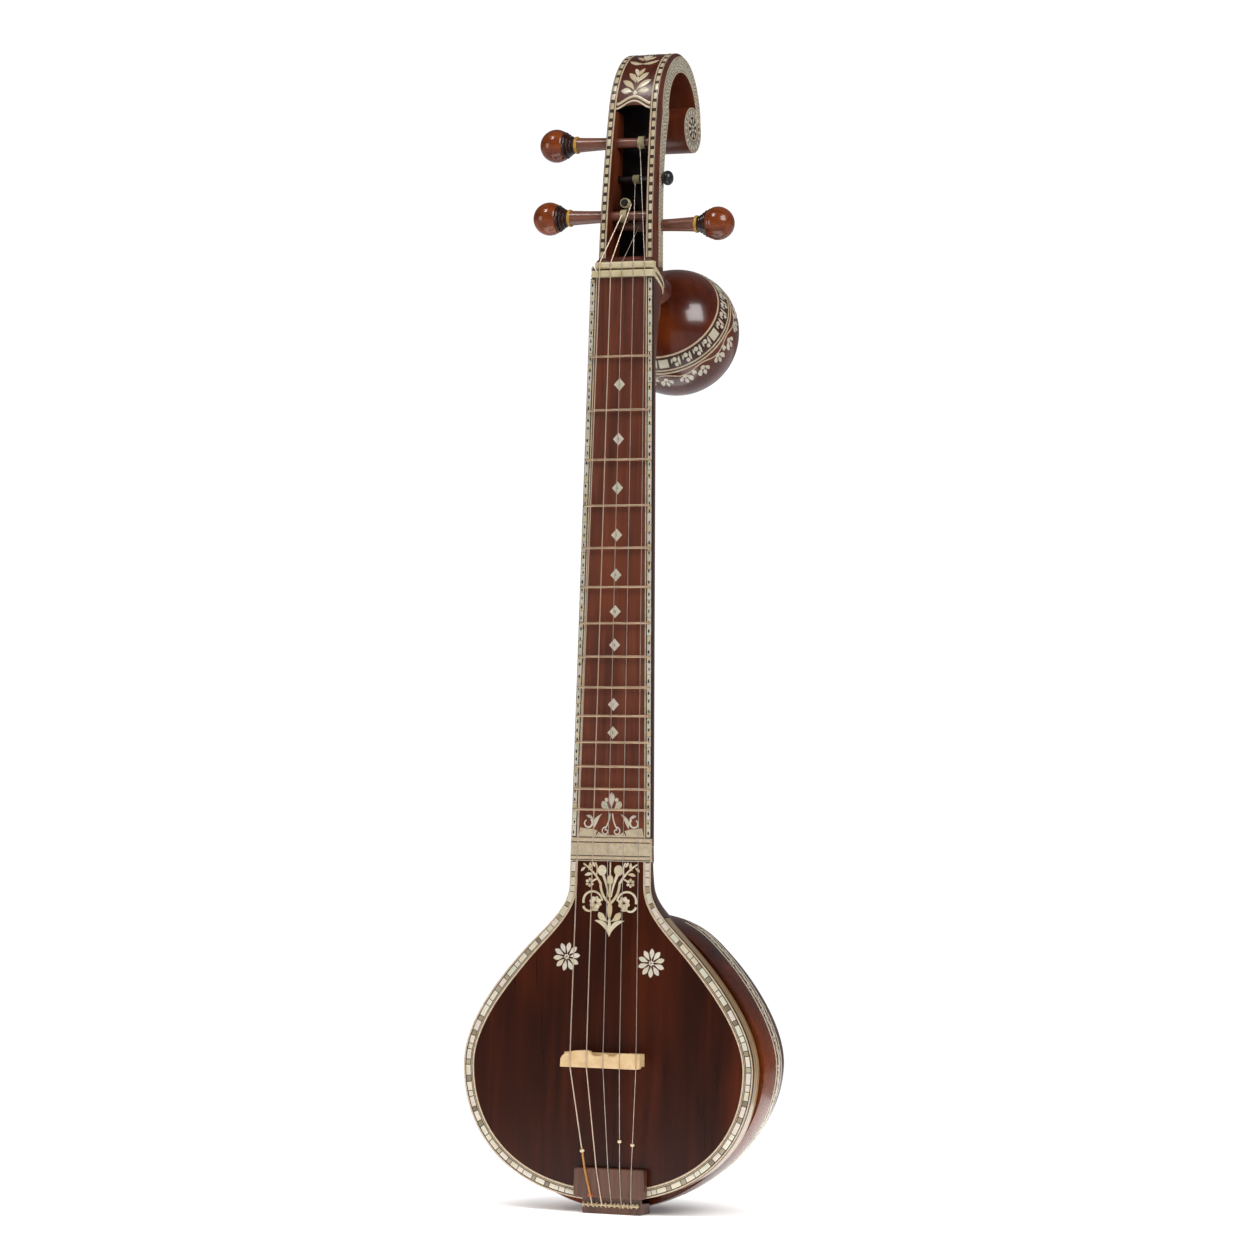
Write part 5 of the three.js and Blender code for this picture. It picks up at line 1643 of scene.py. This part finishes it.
def string_points(i):
    """The bends of a string, from the rod under the tail block up to its peg."""
    lift = STRING_RADII[i] + GAP
    anchor_x, tail_x = spread(ANCHOR_SPREAD, i), spread(TAIL_SPREAD, i)
    bridge_x, nut_x = spread(BRIDGE_SPREAD, i), spread(NUT_SPREAD, i)
    rod_low, rod_high = box_of("anchor_rod")
    return [
        Vector((anchor_x, rod_low.y - lift, (rod_low.z + rod_high.z) / 2)),
        Vector((lerp(anchor_x, tail_x, 0.2), TAIL_FRONT_Y - lift, TAIL_STEP_Z + 2)),
        Vector((tail_x, TAIL_FRONT_Y - lift, TAIL_TOP_Z - 1)),
        Vector((bridge_x, -BRIDGE_HEIGHT - lift, BRIDGE_Z - 7)),
        Vector((bridge_x, -BRIDGE_HEIGHT - lift, BRIDGE_Z + 7)),
        Vector((nut_x, -NUT_HEIGHT - lift, NUT_Z - 2)),
        Vector((nut_x, -NUT_HEIGHT - lift, NUT_Z + 11)),
        winding_touch(i, lift),
    ]


def winding_touch(i, lift):
    """Where a string meets its peg: in front of the turns, or beside them on the rear peg."""
    name, (_, middle) = next(item for item in WOUND.items() if item[1][0] == i + 1)
    place, _ = PEGS[name]
    if name == "peg_rear":
        return Vector((place.x + REAR_TURNS_RADIUS + lift, middle, place.z - 1))
    return Vector((middle, place.y - shaft_radius(name) - TURNS_DEPTH - lift, place.z))


def eased(points, reach=2.0):
    """The same path with each bend rounded off over a short reach."""
    path = [points[0]]
    for before, corner, after in zip(points, points[1:], points[2:]):
        back = (before - corner).normalized() * min(reach, (before - corner).length / 3)
        on = (after - corner).normalized() * min(reach, (after - corner).length / 3)
        path += quadratic(corner + back, corner, corner + on, 4)
    return path + [points[-1]]


def make_strings():
    for i, radius in enumerate(STRING_RADII):
        kind = "bronze" if i < 2 else "steel"
        name = f"string_{i + 1}"
        wire = Skin().tube(eased(string_points(i)), radius, 10)
        make_piece(f"{name}_wire", wire, kind, f"string_{kind}", replaces=[name])


def helix(start, end, radius, turns, steps=12):
    axis = (end - start).normalized()
    across = axis.orthogonal().normalized()
    other = axis.cross(across)
    path = []
    for i in range(turns * steps + 1):
        angle = 2 * math.pi * i / steps
        spoke = across * math.cos(angle) + other * math.sin(angle)
        path.append(start.lerp(end, i / (turns * steps)) + spoke * radius)
    return path


def make_thread_wrap():
    """Golden thread wound round the lower end of the first string, with a red knot at its foot."""
    points = string_points(0)
    wrap, knot = Skin(), Skin()
    wrap_radius = STRING_RADII[0] + 0.3
    wrap.tube(helix(points[1], points[2], wrap_radius, 34), 0.34, 6)
    wrap.tube(helix(points[2], points[2].lerp(points[3], 0.2), wrap_radius, 22), 0.3, 6)
    for shift, size in (((-1.6, 0, 0.6), 1.5), ((1.0, 0.2, -0.2), 1.3), ((2.6, 0, 1.2), 0.9)):
        ball = arc((0, 0), (size, size), -90, 90, 8)
        knot.lathe(ball, points[1] + Vector(shift), (0.4, -0.5, 0.7), 12)
    make_piece("string_1_wrap", wrap, "golden_thread", "string_bronze")
    make_piece("string_1_knot", knot, "red_thread", "string_bronze")


def make_beads():
    for joint in frame["joints"]:
        name = joint["child"]
        if not name.startswith("tuning_bead_"):
            continue
        low, high = box_of(name)
        hole = STRING_RADII[int(name[-1]) - 1] + GAP
        profile = arc((hole + 0.75, 0), (0.75, 1.4), 0, 360, 16)
        skin = Skin().lathe(profile, (low + high) / 2, joint["axis"], 24)
        make_piece(f"{name}_ball", skin, "ivory", "bead", body=name, replaces=[name])


BRIDGE_EDGE = [  # x and height above the plate's lower edge, from its lower left corner round its top
    (-43.5, 0.4), (-43.2, 8.5), (-41.5, 11.5), (-38.5, 14.2), (-34.5, 15.8), (-28, 17.2), (-16, 18),
    (-11.5, 17.4), (-9.6, 15.4), (-8.6, 13.2), (-6, 12.4), (1, 12.6), (2.6, 14.6), (5.6, 15.2),
    (8.4, 14.4), (9.6, 12.8), (16, 12.8), (18.4, 14.8), (22, 16), (43.5, 16.2), (43.5, 1.2), (40, 0.2),
]
BRIDGE_FOOT_LENGTH = 16
BRIDGE_ARCH = 7.5  # height of the arch between the two feet


def make_bridge():
    low, high = box_of("bridge_plate")
    plate = slab([(x, low.z + height) for x, height in BRIDGE_EDGE], low.y, high.y)
    options = {"bevel": 0.7, "sharp_degrees": 30}
    make_piece("bridge_top", plate, "bridge", "bridge_bone", replaces=["bridge_plate"], **options)
    low, high = box_of("bridge_base")
    span = high.x - BRIDGE_FOOT_LENGTH
    outline = [(-high.x, high.y), (-high.x, low.y), (high.x, low.y), (high.x, high.y), (span, high.y)]
    for spoke in arc((0, 0), (1, 1), 7.5, 172.5, 22):
        outline.append((span * spoke.x, high.y - BRIDGE_ARCH * spoke.y**0.7))
    outline.append((-span, high.y))
    foot = Skin().prism(outline, lambda x, y, z: Vector((x, y, z)), low.z, high.z)
    make_piece("bridge_foot", foot, "bridge", "bridge_bone", replaces=["bridge_base"], bevel=0.6)


TAIL_FOOT_SIDES = (-22, 42)
TAIL_FOOT_FRONT_Y = -5
TAIL_FOOT_TOP_Z = 11.5


def make_tail():
    low, high = box_of("tail_block")
    step = TAIL_STEP_Z + 1
    profile = [(TAIL_FOOT_FRONT_Y, 0), (high.y, 0), (high.y, TAIL_FOOT_TOP_Z), (-GAP, TAIL_FOOT_TOP_Z)]
    profile += [(-GAP, step), (TAIL_FOOT_FRONT_Y, step)]
    foot = Skin().prism(profile, lambda y, z, x: Vector((x, y, z)), *TAIL_FOOT_SIDES)
    corner = 3.0
    left, right = low.x + corner, high.x - corner
    bottom, top = TAIL_STEP_Z + corner, high.z - corner
    outline = []
    corners = ((left, bottom), (right, bottom), (right, top), (left, top))
    for centre, start in zip(corners, (180, 270, 0, 90)):
        outline += arc(centre, (corner, corner), start, start + 90, 6)
    plate = slab(outline, low.y, -GAP)
    make_piece("tail_plate", plate, "tail", "tail_wood", replaces=["tail_block"], bevel=1.1)
    make_piece("tail_foot", foot, "tail", "tail_wood", bevel=0.9)


LOOP_COUNT = 13
LOOP_RADIUS = 1.95


def make_anchor():
    """The rod across the tail's foot, with the loops of the strings' ends round it."""
    low, high = box_of("anchor_rod")
    middle = (low + high) / 2
    rod = Skin().tube([Vector((x, middle.y, middle.z)) for x in (low.x, high.x)], 1.25, 16)
    make_piece("anchor_pin", rod, "brass", "fret_brass", replaces=["anchor_rod"], bevel=0.3)
    loops = Skin()
    for k in range(LOOP_COUNT):
        x = lerp(low.x + 2, high.x - 2, k / (LOOP_COUNT - 1))
        tilt = rng.uniform(-1.4, 1.4)
        ring = []
        for spoke in circle((0, 0), 1, 24):
            offset = Vector((tilt * spoke.y, LOOP_RADIUS * spoke.x, LOOP_RADIUS * spoke.y))
            ring.append(Vector((x, middle.y, middle.z)) + offset)
        loops.tube(ring, rng.uniform(0.5, 0.75), 8)
    make_piece("string_loops", loops, "thread", "string_turns")


# ---- upper gourd ------------------------------------------------------------------------------------

TOWARDS_NECK = Vector((0, -math.cos(TUMBA_TILT), math.sin(TUMBA_TILT)))
TUMBA_BEAD_GROUPS = 30
TUMBA_SCROLLS = 10


def make_tumba():
    """A shell round its hole: up the outside and back down the inside."""
    walls = []
    for radius in (TUMBA_RADIUS, TUMBA_RADIUS - TUMBA_WALL):
        hole = math.degrees(math.acos(TUMBA_HOLE_RADIUS / radius))
        walls.append(arc((0, 0), (radius, radius), -90, hole, 48))
    skin = Skin().lathe(walls[0] + walls[1][::-1], TUMBA_CENTRE, TOWARDS_NECK, 112)
    options = {"body": "upper_gourd", "replaces": ["upper_gourd"], "sharp_degrees": 50}
    make_piece("upper_gourd_shell", skin, "tumba", "gourd_shell", **options)


def tumba_latitude(distance):
    """Arc length from the upper gourd's equator for a distance along its axis."""
    return TUMBA_RADIUS * math.asin(distance / TUMBA_RADIUS)


def tumba_patch(turn):
    """The upper gourd's surface about a longitude given in turns."""
    return sphere_patch(TUMBA_CENTRE, TUMBA_RADIUS, TOWARDS_NECK, 2 * math.pi * turn)


def tumba_ring(skin, distance, half_width, lift=0.35, wave=0.0):
    """A ring round the upper gourd; with wave it swings by that much, once for each scroll."""
    v = tumba_latitude(distance)
    around = 2 * math.pi * TUMBA_RADIUS * math.cos(v / TUMBA_RADIUS)
    shares = [i / 144 for i in range(145)]
    points = [(share * around, v + wave * math.sin(2 * math.pi * TUMBA_SCROLLS * share)) for share in shares]
    ribbon(skin, tumba_patch(0), points, half_width, lift)


def make_tumba_ornament():
    """Rings round the side that faces the neck, beads between them, and a garland behind."""
    lines, beads, ground = Skin(), Skin(), Skin()
    for distance, half_width in ((34, 1.05), (18.8, 0.95), (15.2, 1.05)):
        tumba_ring(lines, distance, half_width)
    for distance, half_width in ((26.2, 7.6), (17, 0.9)):
        tumba_ring(ground, distance, half_width, 0.08)
    v = (tumba_latitude(34) + tumba_latitude(18.6)) / 2
    for k in range(TUMBA_BEAD_GROUPS):
        pen = Pen(beads, tumba_patch(k / TUMBA_BEAD_GROUPS), lift=0.45)
        if k % 5 == 4:
            pen.stroke([(u, v) for u in (-5.2, -2.6, 0, 2.6, 5.2)], 5.2, 0.3)
            continue
        pen.dot((0, v + 2.8), 2.5, lift=0.5)
        pen.dot((0.6, v - 3.4), 2.3, lift=0.5)
        pen.leaf((4.4, v - 5.4), (5.4, v + 5.2), 2.9, 0.8)
        pen.leaf((-3.4, v + 5), (-4.4, v - 1), 2.0, 0.5)
    tumba_ring(lines, 10, 0.8, 0.35, 2.4)
    half_wave = math.pi * TUMBA_RADIUS / TUMBA_SCROLLS
    for k in range(TUMBA_SCROLLS * 2):
        pen = Pen(beads, tumba_patch((k + 0.5) / (TUMBA_SCROLLS * 2)), 1 if k % 2 else -1, 0.45)
        pen.dot((0, 6.2), 2.6, lift=0.4)
        pen.leaf((0.8, 6.2), (5.6, -4.2), 5.4, 1.6, 0.6)
        pen.leaf((-1.2, 6), (-5.2, -1.2), 4.4, -1.4, 0.6)
        pen.leaf((-0.4, 4), (0, -5.4), 4.2, 0, 0.6)
        pen.leaf((half_wave * 0.4, 9.5), (half_wave * 0.56, 2.5), 3.4, 1, lift=0.4)
    make_piece("upper_gourd_rings", lines, "line", body="upper_gourd")
    make_piece("upper_gourd_beads", beads, "pearl", body="upper_gourd")
    make_piece("upper_gourd_ground", ground, "brown_ground", body="upper_gourd")


STEM_END = 150  # from the upper gourd's middle; the neck and the peg box cut it short
STEM_BORE = 4.9


def make_tumba_stem():
    start, end, bore = TUMBA_RADIUS + 0.8, STEM_END, STEM_BORE
    profile = [(bore, start), (16.4, start), (17.4, start + 0.7), (17.9, start + 2)]
    for i in range(31):
        share = i / 30
        waist = 15 + 3.0 * (1 - smoothstep(share, 0, 0.16)) + 7 * smoothstep(share, 0.3, 1)
        profile.append((waist, lerp(start + 3.2, end, share)))
    profile += [(bore, end), (bore, start)]
    stem = make_mesh("stem_body", Skin().lathe(profile, TUMBA_CENTRE, TOWARDS_NECK, 64), 40)
    inside = block(60, -60, HEAD_SIDE_DEPTH, 850, 1100)
    neck_back = make_mesh("neck_back", Skin().loft([neck_ring(z, TOUCH) for z in NECK_FLARE_LEVELS]))
    trimmed = cut(stem, [inside, neck_back, head_back_block(TOUCH)], "stem")
    shade(trimmed, 40)
    make_piece("upper_gourd_stem", trimmed, "tumba", "neck_wood", replaces=["gourd_stem"])


# ---- everything -------------------------------------------------------------------------------------

for make in (
    make_camera,
    make_studio,
    make_soundboard,
    make_binding,
    make_rim,
    make_gourd,
    make_heel,
    make_body_ornament,
    make_gourd_vine,
    make_neck,
    make_fingerboard,
    make_frets,
    make_fret_marks,
    make_joint_plate,
    make_neck_ornament,
    make_nut,
    make_head,
    make_head_inlays,
    make_head_ornament,
    make_head_side_inlays,
    make_pegs,
    make_strings,
    make_thread_wrap,
    make_beads,
    make_bridge,
    make_tail,
    make_anchor,
    make_tumba,
    make_tumba_ornament,
    make_tumba_stem,
):
    make()
frame["nodes"]["gourd_screw"].material_slots[0].material = look["screw"]
